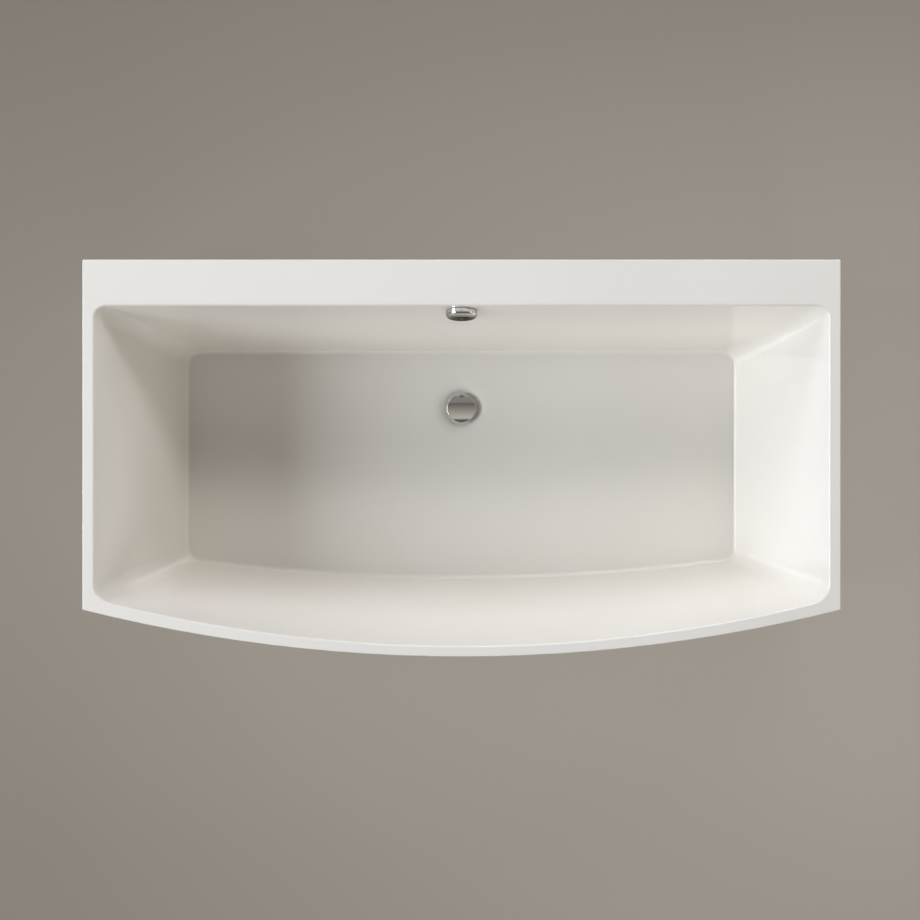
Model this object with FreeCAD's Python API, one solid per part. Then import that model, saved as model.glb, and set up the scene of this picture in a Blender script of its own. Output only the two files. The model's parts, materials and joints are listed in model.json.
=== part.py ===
# A back-to-wall freestanding bath: acrylic tub, skirt, cradles on levelling legs,
# and a waste whose plug is worked by turning the overflow rosette.
# Millimetres. Origin under the middle of the bath on the floor, +X along the length,
# +Y towards the wall, +Z up.
import FreeCAD, Part
import math
import os
from FreeCAD import Placement, Rotation, Vector

# Tub
LENGTH = 1700.0
END_DEPTH = 785.0
FRONT_BOW = 105.0
HEIGHT = 600.0
SHEET = 5.0
LIP_DEPTH = 28.0
LEDGE_WIDTH = 103.0
END_RIM = 25.5
FRONT_RIM = 23.5
OPENING_BOW = 105.0
OPENING_BACK_RADIUS = 30.0
OPENING_FRONT_RADIUS = 50.0
OPENING_EDGE_RADIUS = 5.0
OUTER_CORNER_RADIUS = 3.0
OUTER_EDGE_RADIUS = 2.0
LIP_EDGE_RADIUS = 1.2
BACK_LEAN = 83.0
END_LEAN = 158.5
FRONT_LEAN = 130.5
FLOOR_BOW = 44.0
FLOOR_CORNER_RADIUS = 36.0
FLOOR_FILLET = 10.0
BACKING = 3.0
BOND_LINE = 0.4
BACKING_TOP_GAP = 3.0

# Board, batten and wall brackets
BOARD_THICKNESS = 15.0
BOARD_END_INSET = 66.0
BOARD_BACK_INSET = 44.0
BOARD_FRONT_INSET = 31.0
BOARD_CORNER_RADIUS = 30.0
BATTEN_SIZE = 30.0
BATTEN_INSET = 100.0
BRACKET_INSET = 230.0
BRACKET_WIDTH = 80.0
BRACKET_THICKNESS = 3.0
BRACKET_DROP = 60.0
WALL_HOLE_SPACING = 44.0
WALL_HOLE_RADIUS = 3.5

# Skirt
SKIRT_SHEET = 4.0
SKIRT_GAP = 8.0
SKIRT_RETURN = 22.0
LIP_CLEARANCE = 1.0
SEAM_GAP = 0.6
RETAINER_THICKNESS = 6.0
RETAINER_HEIGHT = 28.0
RETAINER_LENGTH = 70.0
ANGLE_LEG = 26.0
ANGLE_SHEET = 2.0

# Cradles and legs
CRADLE_INSET = 60.0
CRADLE_OVERHANG = 60.0
CRADLE_Y = -8.0
HAT_WIDTH = 46.0
HAT_DEPTH = 40.0
HAT_SHEET = 2.5
HAT_FLANGE = 26.0
LEG_SPREAD = 310.0
STUD_RADIUS = 6.0
STUD_ROOT_RADIUS = 5.1
STUD_PITCH = 1.75
STUD_CLEARANCE = 0.08
STUD_TOP_GAP = 14.0
NUT_ACROSS_FLATS = 19.0
NUT_HEIGHT = 9.0
PAD_RADIUS = 30.0
PAD_HEIGHT = 20.0
BALL_RADIUS = 8.0
BALL_FLOOR = 4.0
COLLAR_RISE = 3.0
STAY_WIDTH = 26.0
STAY_SHEET = 3.0
STAY_TAB = 30.0

# Screws: shank radius, head radius, head height
WOOD_SCREW = (2.4, 5.0, 2.6)
SHEET_SCREW = (1.9, 3.8, 2.2)
STAY_SCREW = (2.9, 5.4, 3.2)
FACE_SCREW = (2.0, 3.8, 2.2)
SCREW_CLEARANCE = 0.1

# Cross recess as shares of a screw head: half length, half width, and the height that stays under it
CROSS_REACH = 0.6
CROSS_WIDTH = 0.13
CROSS_FLOOR = 0.45

# Overflow, turned about the back wall's normal
OVERFLOW_DROP = 47.0
OVERFLOW_HOLE_RADIUS = 27.0
KNOB_RADIUS = 35.5
KNOB_STANDOFF = 2.0
KNOB_DEPTH = 15.5
KNOB_WALL = 2.5
KNOB_EDGE = 7.0
KNOB_CROWN = 1.5
KNOB_SLOT_WIDTH = 10.0
KNOB_SLOT_DEPTH = 5.0
KNOB_SLOT_SPREAD = 120.0
KNOB_SLOTS = 5
SPINDLE_RADIUS = 5.0
RUNNING_FIT = 0.06
FACE_FLANGE_RADIUS = 31.0
FACE_FLANGE_THICKNESS = 2.2
FACE_SPIGOT_RADIUS = 26.0
FACE_SCREW_X = 17.0
ELBOW_RADIUS = 34.0
ELBOW_WALL = 3.0
ELBOW_DEPTH = 44.0
ELBOW_RIM_RADIUS = 39.0
ELBOW_SOCKET_REACH = 36.0
SEAL_THICKNESS = 4.0
SEAT_GAP = 0.3
CAM_RADIUS = 12.0
CAM_ROOT_RADIUS = 8.0
CAM_THICKNESS = 6.0
GLAND_X = 27.0

# Overflow pipe and cable
PIPE_RADIUS = 16.0
PIPE_WALL = 2.0
PIPE_BEND = 46.0
SOCKET_WALL = 2.8
SOCKET_FIT = 0.2
SOCKET_GRIP = 22.0
PIPE_NUT_WALL = 3.5
PIPE_NUT_LENGTH = 18.0
PIPE_NUT_LIP = 5.0
CABLE_RADIUS = 3.0
CABLE_JOG = 10.0
CABLE_JOG_START = 75.0
CABLE_JOG_END = 140.0
CABLE_JOG_BEND = 120.0
CABLE_SIDE_REACH = 130.0
CABLE_LOWER_BENDS = (60.0, 45.0)
GLAND_WALL = 2.6
GLAND_LENGTH = 12.0
CLIP_WIDTH = 12.0
CLIP_PLACES = (0.515, 0.755)

# Waste
WASTE_INSET = 138.0
DISH_RADIUS = 68.0
DISH_DEPTH = 7.0
DISH_FLAT_RADIUS = 37.0
WASTE_SEAT = 6.0
WASTE_PAD_RADIUS = 62.0
WASTE_HOLE_RADIUS = 26.0
CUT_OUT_GAP = 5.0
GASKET = 1.0
DRAIN_FLANGE_RADIUS = 33.0
DRAIN_FLANGE_THICKNESS = 2.0
DRAIN_NECK_WALL = 3.0
DRAIN_NECK_LENGTH = 18.0
BODY_SEAL = 3.0
BODY_RIM_RADIUS = 43.0
BODY_RADIUS = 36.0
BODY_WALL = 3.5
INLET_DROP = 27.0
INLET_REACH = 64.0
CHAMBER_HEIGHT = 48.0
PLUG_RADIUS = 35.0
PLUG_EDGE = 3.0
PLUG_DOME = 4.0
PLUG_LIFT = 9.0
STEM_RADIUS = 4.0
ROCKER_ARM = 12.0
ROCKER_TIP_RADIUS = 4.0
ROCKER_WIDTH = 9.0
LUG_SHEET = 3.0
ROCKER_DROP = 45.0
CABLE_ARM = 16.0
PIN_RADIUS = 2.0
DIP_RADIUS = 20.0
DIP_GAP = 10.0
TRAP_GROUND_GAP = 6.0
TRAP_HEIGHT = 105.0
TRAP_SEAL = 3.0
TRAP_RIM = 3.0
UNION_WALL = 5.0
UNION_LENGTH = 22.0
OUTLET_CLEARANCE = 3.6
OUTLET_RADIUS = 20.0
OUTLET_WALL = 2.0
OUTLET_SHOULDER = 0.5
OUTLET_SPIGOT = 70.0
OUTLET_REACH = 205.0


class Outline:
    """A plan with a straight back, straight ends and a bowed front."""

    def __init__(self, half_length, back_y, apex_y, arc_radius, back_radius, front_radius):
        self.half_length = half_length
        self.back_y = back_y
        self.apex_y = apex_y
        self.arc_radius = arc_radius
        self.back_radius = back_radius
        self.front_radius = front_radius

    def grown(self, by):
        return Outline(
            self.half_length + by,
            self.back_y + by,
            self.apex_y - by,
            self.arc_radius + by,
            max(self.back_radius + by, 0.0),
            max(self.front_radius + by, 0.0),
        )

    def arc_centre_y(self):
        return self.apex_y + self.arc_radius

    def front_y(self, x):
        return self.arc_centre_y() - math.sqrt(self.arc_radius**2 - x**2)

    def corners(self, z):
        """The four corners before rounding, from front right by the back, and the front's apex."""
        half = self.half_length
        front = self.front_y(half)
        back = self.back_y
        points = [(half, front), (half, back), (-half, back), (-half, front), (0, self.apex_y)]
        return [Vector(x, y, z) for x, y in points]

    def wire(self, z):
        half, back, radius = self.half_length, self.back_y, self.arc_radius
        round_back, round_front = self.back_radius, self.front_radius
        centre_y = self.arc_centre_y()
        corner_x = half - round_front
        corner_y = centre_y - math.sqrt((radius - round_front) ** 2 - corner_x**2)
        scale = radius / (radius - round_front)
        touch_x = corner_x * scale
        touch_y = centre_y + (corner_y - centre_y) * scale
        bulge = round_back * (1 - math.sqrt(0.5))
        points = [
            (half, corner_y),
            (half, back - round_back),
            (half - bulge, back - bulge),
            (half - round_back, back),
            (touch_x, touch_y),
        ]
        right = [Vector(x, y, z) for x, y in points]
        left = [Vector(-x, y, z) for x, y in points]
        apex = Vector(0, self.apex_y, z)
        edges = [line(right[0], right[1])]
        if round_back:
            edges.append(arc(right[1], right[2], right[3]))
        edges.append(line(right[3], left[3]))
        if round_back:
            edges.append(arc(left[3], left[2], left[1]))
        edges.append(line(left[1], left[0]))
        if round_front:
            reach = Vector(touch_x - corner_x + round_front, touch_y - corner_y, 0)
            reach.normalize()
            middle = Vector(corner_x, corner_y, z) + reach * round_front
            edges.append(arc(left[0], Vector(-middle.x, middle.y, z), left[4]))
        edges.append(arc(left[4], apex, right[4]))
        if round_front:
            edges.append(arc(right[4], middle, right[0]))
        return Part.Wire(edges)

    def block(self, low_z, high_z):
        return Part.Face(self.wire(low_z)).extrude(Vector(0, 0, high_z - low_z))


def line(start, end):
    return Part.LineSegment(start, end).toShape()


def arc(start, middle, end):
    return Part.Arc(start, middle, end).toShape()


def dome(edge_radius, edge_z, top_z):
    """Arc in the XZ plane from a rim to the axis, with its centre on the axis."""
    rise = top_z - edge_z
    radius = bow_radius(edge_radius, abs(rise))
    half_angle = math.asin(edge_radius / radius) / 2
    way = math.copysign(1, rise)
    middle = Vector(radius * math.sin(half_angle), 0, top_z - way * radius * (1 - math.cos(half_angle)))
    return arc(Vector(edge_radius, 0, edge_z), middle, Vector(0, 0, top_z))


def bow_radius(half_chord, bow):
    return (half_chord**2 + bow**2) / (2 * bow)


def joined(shapes):
    return shapes[0].fuse(shapes[1:]).removeSplitter()


def box(low, high):
    size = high - low
    return Part.makeBox(size.x, size.y, size.z, low)


def rod(radius, start, end):
    along = end - start
    return Part.makeCylinder(radius, along.Length, start, along)


def tube(outer, inner, start, end):
    return rod(outer, start, end).cut(rod(inner, start, end))


def turned(edges, base=Vector(0, 0, 0)):
    """A half section in the XZ plane, given as edges or as (radius, height) points, spun about Z."""
    if isinstance(edges[0], tuple):
        points = [Vector(r, 0, z) for r, z in edges]
        edges = [line(p, q) for p, q in zip(points, points[1:] + points[:1])]
    solid = Part.Face(Part.Wire(edges)).revolve(Vector(0, 0, 0), Vector(0, 0, 1), 360)
    solid.translate(base)
    return solid


def along(shape, base, direction):
    """A shape drawn about +Z from the origin, stood at a base and pointed along a direction."""
    placed = shape.copy()
    placed.Placement = Placement(base, Rotation(Vector(0, 0, 1), direction)).multiply(placed.Placement)
    return placed


def screw(size, seat, direction, length):
    """Pan-head screw: the head lies on its seat, the shank runs along the direction."""
    shank, head, height = size
    cap = rod(head, Vector(0, 0, -height), Vector(0, 0, 0))
    rim = [e for e in cap.Edges if abs(e.BoundBox.ZMax + height) < 1e-6]
    cap = cap.makeFillet(height * CROSS_FLOOR, rim)
    for x, y in ((CROSS_REACH, CROSS_WIDTH), (CROSS_WIDTH, CROSS_REACH)):
        corner = Vector(x * head, y * head, 0)
        cap = cap.cut(box(Vector(0, 0, -height - 1) - corner, Vector(0, 0, -height * CROSS_FLOOR) + corner))
    body = joined([cap, rod(shank, Vector(0, 0, 0), Vector(0, 0, length))])
    return along(body, seat, direction)


def screw_hole(size, seat, direction, length):
    way = Vector(direction).normalize()
    return rod(size[0] + SCREW_CLEARANCE, seat - way * 0.5, seat + way * (length + 0.5))


def hexagon(across_flats, height, base):
    radius = across_flats / math.sqrt(3)
    corners = [Vector(radius * math.cos(math.radians(a)), radius * math.sin(math.radians(a)), 0)
               for a in range(0, 360, 60)]
    prism = Part.Face(Part.makePolygon(corners + corners[:1])).extrude(Vector(0, 0, height))
    prism.translate(base)
    return prism


def rounded_path(points, radii):
    """Straight runs through the points with a tangent arc at each inner point."""
    edges = []
    here = points[0]
    for before, corner, after, radius in zip(points, points[1:], points[2:], radii):
        back = (before - corner).normalize()
        on = (after - corner).normalize()
        half_turn = (math.pi - back.getAngle(on)) / 2
        setback = radius * math.tan(half_turn)
        bisector = (back + on).normalize()
        middle = corner + bisector * (radius / math.cos(half_turn) - radius)
        start = corner + back * setback
        end = corner + on * setback
        edges.append(line(here, start))
        edges.append(arc(start, middle, end))
        here = end
    edges.append(line(here, points[-1]))
    return Part.Wire(edges)


def swept(path, radius):
    first = path.Edges[0]
    start = first.valueAt(first.FirstParameter)
    heading = first.tangentAt(first.FirstParameter)
    ring = Part.Wire(Part.makeCircle(radius, start, heading))
    return path.makePipeShell([ring], True, False)


def ribbed_nut(outer, steps, length, ribs):
    """Ring nut about +Z with grip ribs; steps are (bore radius, start, end)."""
    nut = rod(outer, Vector(0, 0, 0), Vector(0, 0, length))
    for number in range(ribs):
        rib = box(Vector(outer - 1.5, -1.6, 1.5), Vector(outer + 1.8, 1.6, length - 1.5))
        rib.rotate(Vector(0, 0, 0), Vector(0, 0, 1), number * 360.0 / ribs)
        nut = nut.fuse(rib)
    for bore, start, end in steps:
        nut = nut.cut(rod(bore, Vector(0, 0, start), Vector(0, 0, end)))
    return nut.removeSplitter()


# Levels of the waste, from the ground up: the tub floor stands as high as the waste needs
TRAP_TOP = TRAP_GROUND_GAP + TRAP_HEIGHT
CHAMBER_BOTTOM = TRAP_TOP + TRAP_SEAL
BODY_TOP = CHAMBER_BOTTOM + CHAMBER_HEIGHT
PAD_UNDERSIDE = BODY_TOP + BODY_SEAL
DISH_FLOOR = PAD_UNDERSIDE + WASTE_SEAT
FLOOR_Z = DISH_FLOOR + DISH_DEPTH
TUB_DEPTH = HEIGHT - FLOOR_Z
DIP_END_Z = TRAP_GROUND_GAP + DIP_GAP
UNION_TOP = TRAP_TOP + UNION_LENGTH * 0.3
UNION_BOTTOM = UNION_TOP - UNION_LENGTH
TRAP_SOCKET_RADIUS = OUTLET_RADIUS + SOCKET_FIT + SOCKET_WALL
OUTLET_Z = UNION_BOTTOM - OUTLET_CLEARANCE - TRAP_SOCKET_RADIUS

# Plans of the outer edge, the opening at the rim and the tub floor
HALF_LENGTH = LENGTH / 2
WIDTH = END_DEPTH + FRONT_BOW
BACK_Y = WIDTH / 2
OPENING_HALF = HALF_LENGTH - END_RIM
OPENING_BACK_Y = BACK_Y - LEDGE_WIDTH
OPENING_APEX_Y = FRONT_RIM - WIDTH / 2
FLOOR_HALF = OPENING_HALF - END_LEAN
FLOOR_BACK_Y = OPENING_BACK_Y - BACK_LEAN
WASTE_Y = FLOOR_BACK_Y - WASTE_INSET
OUTER = Outline(HALF_LENGTH, BACK_Y, -WIDTH / 2, bow_radius(HALF_LENGTH, FRONT_BOW),
                OUTER_CORNER_RADIUS, OUTER_CORNER_RADIUS)
OPENING = Outline(OPENING_HALF, OPENING_BACK_Y, OPENING_APEX_Y, bow_radius(OPENING_HALF, OPENING_BOW),
                  OPENING_BACK_RADIUS, OPENING_FRONT_RADIUS)
FLOOR = Outline(FLOOR_HALF, FLOOR_BACK_Y, OPENING_APEX_Y + FRONT_LEAN, bow_radius(FLOOR_HALF, FLOOR_BOW),
                FLOOR_CORNER_RADIUS, FLOOR_CORNER_RADIUS)

# Levels under the floor
BACKING_INSIDE = SHEET + BOND_LINE
BACKING_OUTSIDE = BACKING_INSIDE + BACKING
BOARD_TOP = FLOOR_Z - BACKING_OUTSIDE
BOARD_FRONT_Y = FLOOR.front_y(FLOOR_HALF) + BOARD_FRONT_INSET
BOARD_BACK_Y = FLOOR_BACK_Y - BOARD_BACK_INSET
BOARD_HALF = FLOOR_HALF - BOARD_END_INSET
CRADLE_X = BOARD_HALF - CRADLE_INSET
BOARD_BOTTOM = BOARD_TOP - BOARD_THICKNESS
WEB_BOTTOM = BOARD_BOTTOM - HAT_DEPTH
WEB_TOP = WEB_BOTTOM + HAT_SHEET
LEG_YS = {"front": CRADLE_Y - LEG_SPREAD / 2, "back": CRADLE_Y + LEG_SPREAD / 2}
CRADLE_LENGTH = LEG_SPREAD + 2 * CRADLE_OVERHANG
BALL_Z = BALL_FLOOR + BALL_RADIUS
COLLAR_Z = PAD_HEIGHT + COLLAR_RISE
SIDES = {"left": -1, "right": 1}

# Skirt planes
SKIRT_OUTSIDE = SHEET + LIP_CLEARANCE
SKIRT_INSIDE = SKIRT_OUTSIDE + SKIRT_SHEET
SKIRT_TOP = HEIGHT - SHEET - LIP_CLEARANCE
SKIRT_X = HALF_LENGTH - SKIRT_INSIDE
RIM_UNDERSIDE = HEIGHT - SHEET

# Overflow frame: origin on the wet face of the back wall, +Z out of the wall into the tub, +Y up the wall
WALL_TILT = math.degrees(math.atan2(BACK_LEAN, TUB_DEPTH))
OVERFLOW_ORIGIN = Vector(0, OPENING_BACK_Y - OVERFLOW_DROP * BACK_LEAN / TUB_DEPTH, HEIGHT - OVERFLOW_DROP)
OVERFLOW_FRAME = Placement(OVERFLOW_ORIGIN, Rotation(Vector(1, 0, 0), 90 - WALL_TILT))
SEAL_FACE = -(BACKING_OUTSIDE + SEAT_GAP)
ELBOW_FACE = SEAL_FACE - SEAL_THICKNESS
ELBOW_BACK = ELBOW_FACE - ELBOW_DEPTH
PIPE_LEVEL = ELBOW_FACE - ELBOW_DEPTH / 2
SOCKET_RADIUS = PIPE_RADIUS + SOCKET_FIT + SOCKET_WALL
ELBOW_SOCKET_END = ELBOW_RADIUS + ELBOW_SOCKET_REACH
CAM_BACK = ELBOW_BACK + ELBOW_WALL + 3
SPINDLE_END = KNOB_STANDOFF + KNOB_DEPTH - KNOB_CROWN - 4
GLAND_RADIUS = CABLE_RADIUS + GLAND_WALL
GLAND_SEAT = -ELBOW_RADIUS
GLAND_Z = CAM_BACK + CAM_THICKNESS / 2
CABLE_X = GLAND_X + CABLE_JOG
PIPE_NUT_STEP = PIPE_NUT_LENGTH - PIPE_NUT_LIP

# Waste fittings
FLANGE_UNDERSIDE = DISH_FLOOR + GASKET
FLANGE_TOP = FLANGE_UNDERSIDE + DRAIN_FLANGE_THICKNESS
NECK_RADIUS = WASTE_HOLE_RADIUS - 0.5
NECK_BOTTOM = FLANGE_UNDERSIDE - DRAIN_NECK_LENGTH
CUT_OUT_RADIUS = WASTE_PAD_RADIUS + CUT_OUT_GAP
INLET_Z = PAD_UNDERSIDE - INLET_DROP
INLET_END_Y = WASTE_Y + INLET_REACH
PIVOT_Z = FLOOR_Z - ROCKER_DROP
ROCKER_SWING = math.degrees(math.asin(PLUG_LIFT / 2 / ROCKER_ARM))
PLUG_SHUT_Z = FLANGE_TOP + 0.5
PLUG_REST_Z = PLUG_SHUT_Z + PLUG_LIFT
STEM_BOTTOM = PIVOT_Z + PLUG_LIFT / 2 + ROCKER_TIP_RADIUS + SEAT_GAP
CABLE_Z = PIVOT_Z + CABLE_ARM * math.cos(math.radians(ROCKER_SWING))
WASTE = Vector(0, WASTE_Y, 0)
LUG_GAP = ROCKER_WIDTH * 0.8 + SEAT_GAP


def on_wall(shape):
    placed = shape.copy()
    placed.Placement = OVERFLOW_FRAME.multiply(placed.Placement)
    return placed


def at_wall(x, y, z):
    return OVERFLOW_FRAME.multVec(Vector(x, y, z))


def tub_form(grow):
    """The space inside the tub, grown outwards by an amount: plane back and ends, ruled front."""
    low, high = FLOOR.grown(grow), OPENING.grown(grow)
    low_z = FLOOR_Z - grow
    rings = [low.corners(low_z), high.corners(HEIGHT)]
    faces = []
    for n in range(3):
        ends = [rings[0][n], rings[0][n + 1], rings[1][n + 1], rings[1][n], rings[0][n]]
        faces.append(Part.Face(Part.makePolygon(ends)))
    fronts = [arc(ring[3], ring[4], ring[0]) for ring in rings]
    faces.append(Part.makeRuledSurface(fronts[0], fronts[1]))
    for ring, front in zip(rings, fronts):
        sides = [line(ring[n], ring[n + 1]) for n in range(3)]
        faces.append(Part.Face(Part.Wire(sides + [front])))
    skin = Part.makeShell(faces)
    skin.sewShape()
    form = Part.makeSolid(skin)
    radii = [(low.front_radius, high.front_radius), (low.back_radius, high.back_radius)]
    for n, (low_radius, high_radius) in enumerate(radii + radii[::-1]):
        middle = Part.Vertex((rings[0][n] + rings[1][n]) * 0.5)
        edge = min(form.Edges, key=lambda e: e.distToShape(middle)[0])
        if edge.valueAt(edge.FirstParameter).z > low_z + 1:
            low_radius, high_radius = high_radius, low_radius
        form = form.makeFillet(low_radius, high_radius, [edge])
    floor_edges = [e for e in form.Edges if all(abs(v.Z - low_z) < 1e-6 for v in e.Vertexes)]
    return form.makeFillet(FLOOR_FILLET + grow, floor_edges)


def edges_on(shape, outline, z):
    """The edges of a shape that follow an outline at one level."""
    ring = outline.wire(z)
    found = []
    for edge in shape.Edges:
        if all(abs(v.Z - z) < 1e-6 for v in edge.Vertexes):
            middle = edge.valueAt((edge.FirstParameter + edge.LastParameter) / 2)
            if ring.distToShape(Part.Vertex(middle))[0] < SHEET / 2:
                found.append(edge)
    return found


def rounded(shape, radius, ring):
    """Rounds a ring of smoothly joined edges, starting from whichever edge the kernel accepts."""
    for start in [ring] + [[edge] for edge in ring]:
        try:
            return shape.makeFillet(radius, start)
        except Part.OCCError:
            continue
    raise ValueError("no edge of the ring can be rounded")


def front_band(outside, inside, low_z, high_z, half_width, middle_x=0.0):
    """A strip that follows the bowed front, between two depths behind the outer edge."""
    outer = OUTER.grown(-outside)
    centre = Vector(0, outer.arc_centre_y(), low_z)
    rise = Vector(0, 0, high_z - low_z)
    ring = tube(outer.arc_radius, outer.arc_radius - (inside - outside), centre, centre + rise)
    reach = box(Vector(middle_x - half_width, -WIDTH, low_z), Vector(middle_x + half_width, 0, high_z))
    return ring.common(reach)


def waste_dish():
    """Shallow hollow round the waste: its sides roll over from the floor and steepen towards the seat."""
    run = DISH_RADIUS - DISH_FLAT_RADIUS
    bend = (run * run + DISH_DEPTH * DISH_DEPTH) / (2 * DISH_DEPTH)
    slope = math.asin(run / bend)
    flat, edge = Vector(DISH_FLAT_RADIUS, 0, DISH_FLOOR), Vector(DISH_RADIUS, 0, FLOOR_Z)
    middle = edge + Vector(-math.sin(slope / 2), 0, math.cos(slope / 2) - 1) * bend
    above = FLOOR_Z + FLOOR_FILLET
    corners = [edge, Vector(DISH_RADIUS, 0, above), Vector(0, 0, above), Vector(0, 0, DISH_FLOOR), flat]
    edges = [arc(flat, middle, edge)] + [line(p, q) for p, q in zip(corners, corners[1:])]
    return turned(edges, WASTE)


def bath_shell():
    rim = OUTER.block(HEIGHT - LIP_DEPTH, HEIGHT)
    rim = rim.cut(OUTER.grown(-SHEET).block(HEIGHT - LIP_DEPTH, RIM_UNDERSIDE))
    pad = turned([(0, PAD_UNDERSIDE), (WASTE_PAD_RADIUS - 4, PAD_UNDERSIDE),
                  (WASTE_PAD_RADIUS, FLOOR_Z - 2), (0, FLOOR_Z - 2)], WASTE)
    shell = joined([rim, tub_form(SHEET), pad]).cut(joined([tub_form(0), waste_dish()])).removeSplitter()
    shell = rounded(shell, OPENING_EDGE_RADIUS, edges_on(shell, OPENING, HEIGHT))
    shell = rounded(shell, OUTER_EDGE_RADIUS, edges_on(shell, OUTER, HEIGHT))
    shell = rounded(shell, LIP_EDGE_RADIUS, edges_on(shell, OUTER, HEIGHT - LIP_DEPTH))
    shell = shell.cut(rod(WASTE_HOLE_RADIUS, WASTE, WASTE + Vector(0, 0, FLOOR_Z)))
    return shell.cut(on_wall(rod(OVERFLOW_HOLE_RADIUS, Vector(0, 0, -20), Vector(0, 0, 20))))


def glass_fibre_backing():
    top = RIM_UNDERSIDE - BACKING_TOP_GAP
    backing = tub_form(BACKING_OUTSIDE).cut(tub_form(BACKING_INSIDE))
    backing = backing.common(box(Vector(-LENGTH, -WIDTH, 0), Vector(LENGTH, WIDTH, top)))
    backing = backing.cut(rod(CUT_OUT_RADIUS, WASTE, WASTE + Vector(0, 0, FLOOR_Z)))
    return backing.cut(on_wall(rod(OVERFLOW_HOLE_RADIUS + 1, Vector(0, 0, -30), Vector(0, 0, 30))))


def cradle_screw_seats():
    seats = []
    for side in SIDES.values():
        for flange in (-1, 1):
            x = side * CRADLE_X + flange * (HAT_WIDTH / 2 + HAT_SHEET + HAT_FLANGE / 2)
            for y in (-0.42, -0.14, 0.14, 0.42):
                seats.append(Vector(x, CRADLE_Y + y * CRADLE_LENGTH, BOARD_BOTTOM - HAT_SHEET))
    return seats


CRADLE_SCREW_LENGTH = HAT_SHEET + BOARD_THICKNESS * 0.7


def base_board():
    board = box(Vector(-BOARD_HALF, BOARD_FRONT_Y, BOARD_BOTTOM), Vector(BOARD_HALF, BOARD_BACK_Y, BOARD_TOP))
    corners = [e for e in board.Edges if abs(e.BoundBox.ZLength - BOARD_THICKNESS) < 1e-6]
    board = board.makeFillet(BOARD_CORNER_RADIUS, corners)
    slot = SOCKET_RADIUS + PIPE_NUT_WALL + CUT_OUT_GAP
    board = board.cut(rod(CUT_OUT_RADIUS, WASTE, WASTE + Vector(0, 0, FLOOR_Z)))
    board = board.cut(box(Vector(-slot, WASTE_Y, 0), Vector(slot, WIDTH, FLOOR_Z)))
    for seat in cradle_screw_seats():
        board = board.cut(screw_hole(WOOD_SCREW, seat, Vector(0, 0, 1), CRADLE_SCREW_LENGTH))
    return board


BATTEN_HALF = HALF_LENGTH - BATTEN_INSET
BRACKET_X = BATTEN_HALF - BRACKET_INSET
BATTEN_BACK = BACK_Y - SHEET - 3
BATTEN_BOTTOM = RIM_UNDERSIDE - BATTEN_SIZE
BRACKET_SCREW_LENGTH = BRACKET_THICKNESS + BATTEN_SIZE * 0.6


def bracket_screw_seats():
    y = BATTEN_BACK - BATTEN_SIZE / 2
    z = BATTEN_BOTTOM - BRACKET_THICKNESS
    middles = [side * BRACKET_X for side in SIDES.values()]
    return [Vector(x + dx * BRACKET_WIDTH, y, z) for x in middles for dx in (-0.3, 0.3)]


def back_batten():
    low = Vector(-BATTEN_HALF, BATTEN_BACK - BATTEN_SIZE, BATTEN_BOTTOM)
    batten = box(low, Vector(BATTEN_HALF, BATTEN_BACK, RIM_UNDERSIDE))
    for seat in bracket_screw_seats():
        batten = batten.cut(screw_hole(WOOD_SCREW, seat, Vector(0, 0, 1), BRACKET_SCREW_LENGTH))
    return batten


WALL_HOLE_Z = BATTEN_BOTTOM - BRACKET_DROP * 0.6


def wall_bracket(side):
    left = side * BRACKET_X - BRACKET_WIDTH / 2
    right = left + BRACKET_WIDTH
    top = BATTEN_BOTTOM
    front = BATTEN_BACK - BATTEN_SIZE - 8
    shelf = box(Vector(left, front, top - BRACKET_THICKNESS), Vector(right, BACK_Y, top))
    plate = box(Vector(left, BACK_Y - BRACKET_THICKNESS, top - BRACKET_DROP), Vector(right, BACK_Y, top))
    bracket = joined([shelf, plate])
    edge = Part.Vertex(Vector(side * BRACKET_X, BACK_Y, top))
    outside = min(bracket.Edges, key=lambda e: e.distToShape(edge)[0])
    bracket = bracket.makeFillet(BRACKET_THICKNESS, [outside])
    for seat in bracket_screw_seats():
        bracket = bracket.cut(screw_hole(WOOD_SCREW, seat, Vector(0, 0, 1), BRACKET_SCREW_LENGTH))
    for dx in (-0.5, 0.5):
        x = side * BRACKET_X + dx * WALL_HOLE_SPACING
        middle = Vector(x, BACK_Y, WALL_HOLE_Z)
        through = Vector(0, BRACKET_THICKNESS + 1, 0)
        bracket = bracket.cut(rod(WALL_HOLE_RADIUS, middle - through, middle + through))
    return bracket


FRONT_STAY_Z = WEB_BOTTOM
END_STAY_Z = WEB_BOTTOM + 4
END_STAY_YS = (CRADLE_Y - CRADLE_LENGTH * 0.22, CRADLE_Y + CRADLE_LENGTH * 0.22)
STAY_SCREW_RISE = STAY_SHEET + STAY_TAB / 2
SKIRT_SCREW_LENGTH = STAY_SHEET + SEAT_GAP + SKIRT_SHEET * 0.6
CRADLE_STAY_SCREW_LENGTH = STAY_SHEET + HAT_SHEET + 4
CORNER_SCREW_LENGTH = ANGLE_SHEET + SEAT_GAP + SKIRT_SHEET * 0.6
HAT_SIDE = HAT_WIDTH / 2 + HAT_SHEET


def end_stay_screws(side):
    """Seats and directions: into the end skirt, and into the cradle's side."""
    z = END_STAY_Z + STAY_SCREW_RISE
    way = Vector(side, 0, 0)
    outer = side * (SKIRT_X - SEAT_GAP - STAY_SHEET)
    inner = side * (CRADLE_X + HAT_SIDE + STAY_SHEET)
    skirt = [(Vector(outer, y, z), way, SKIRT_SCREW_LENGTH) for y in END_STAY_YS]
    return skirt + [(Vector(inner, y, z), way * -1, CRADLE_STAY_SCREW_LENGTH) for y in END_STAY_YS]


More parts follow.
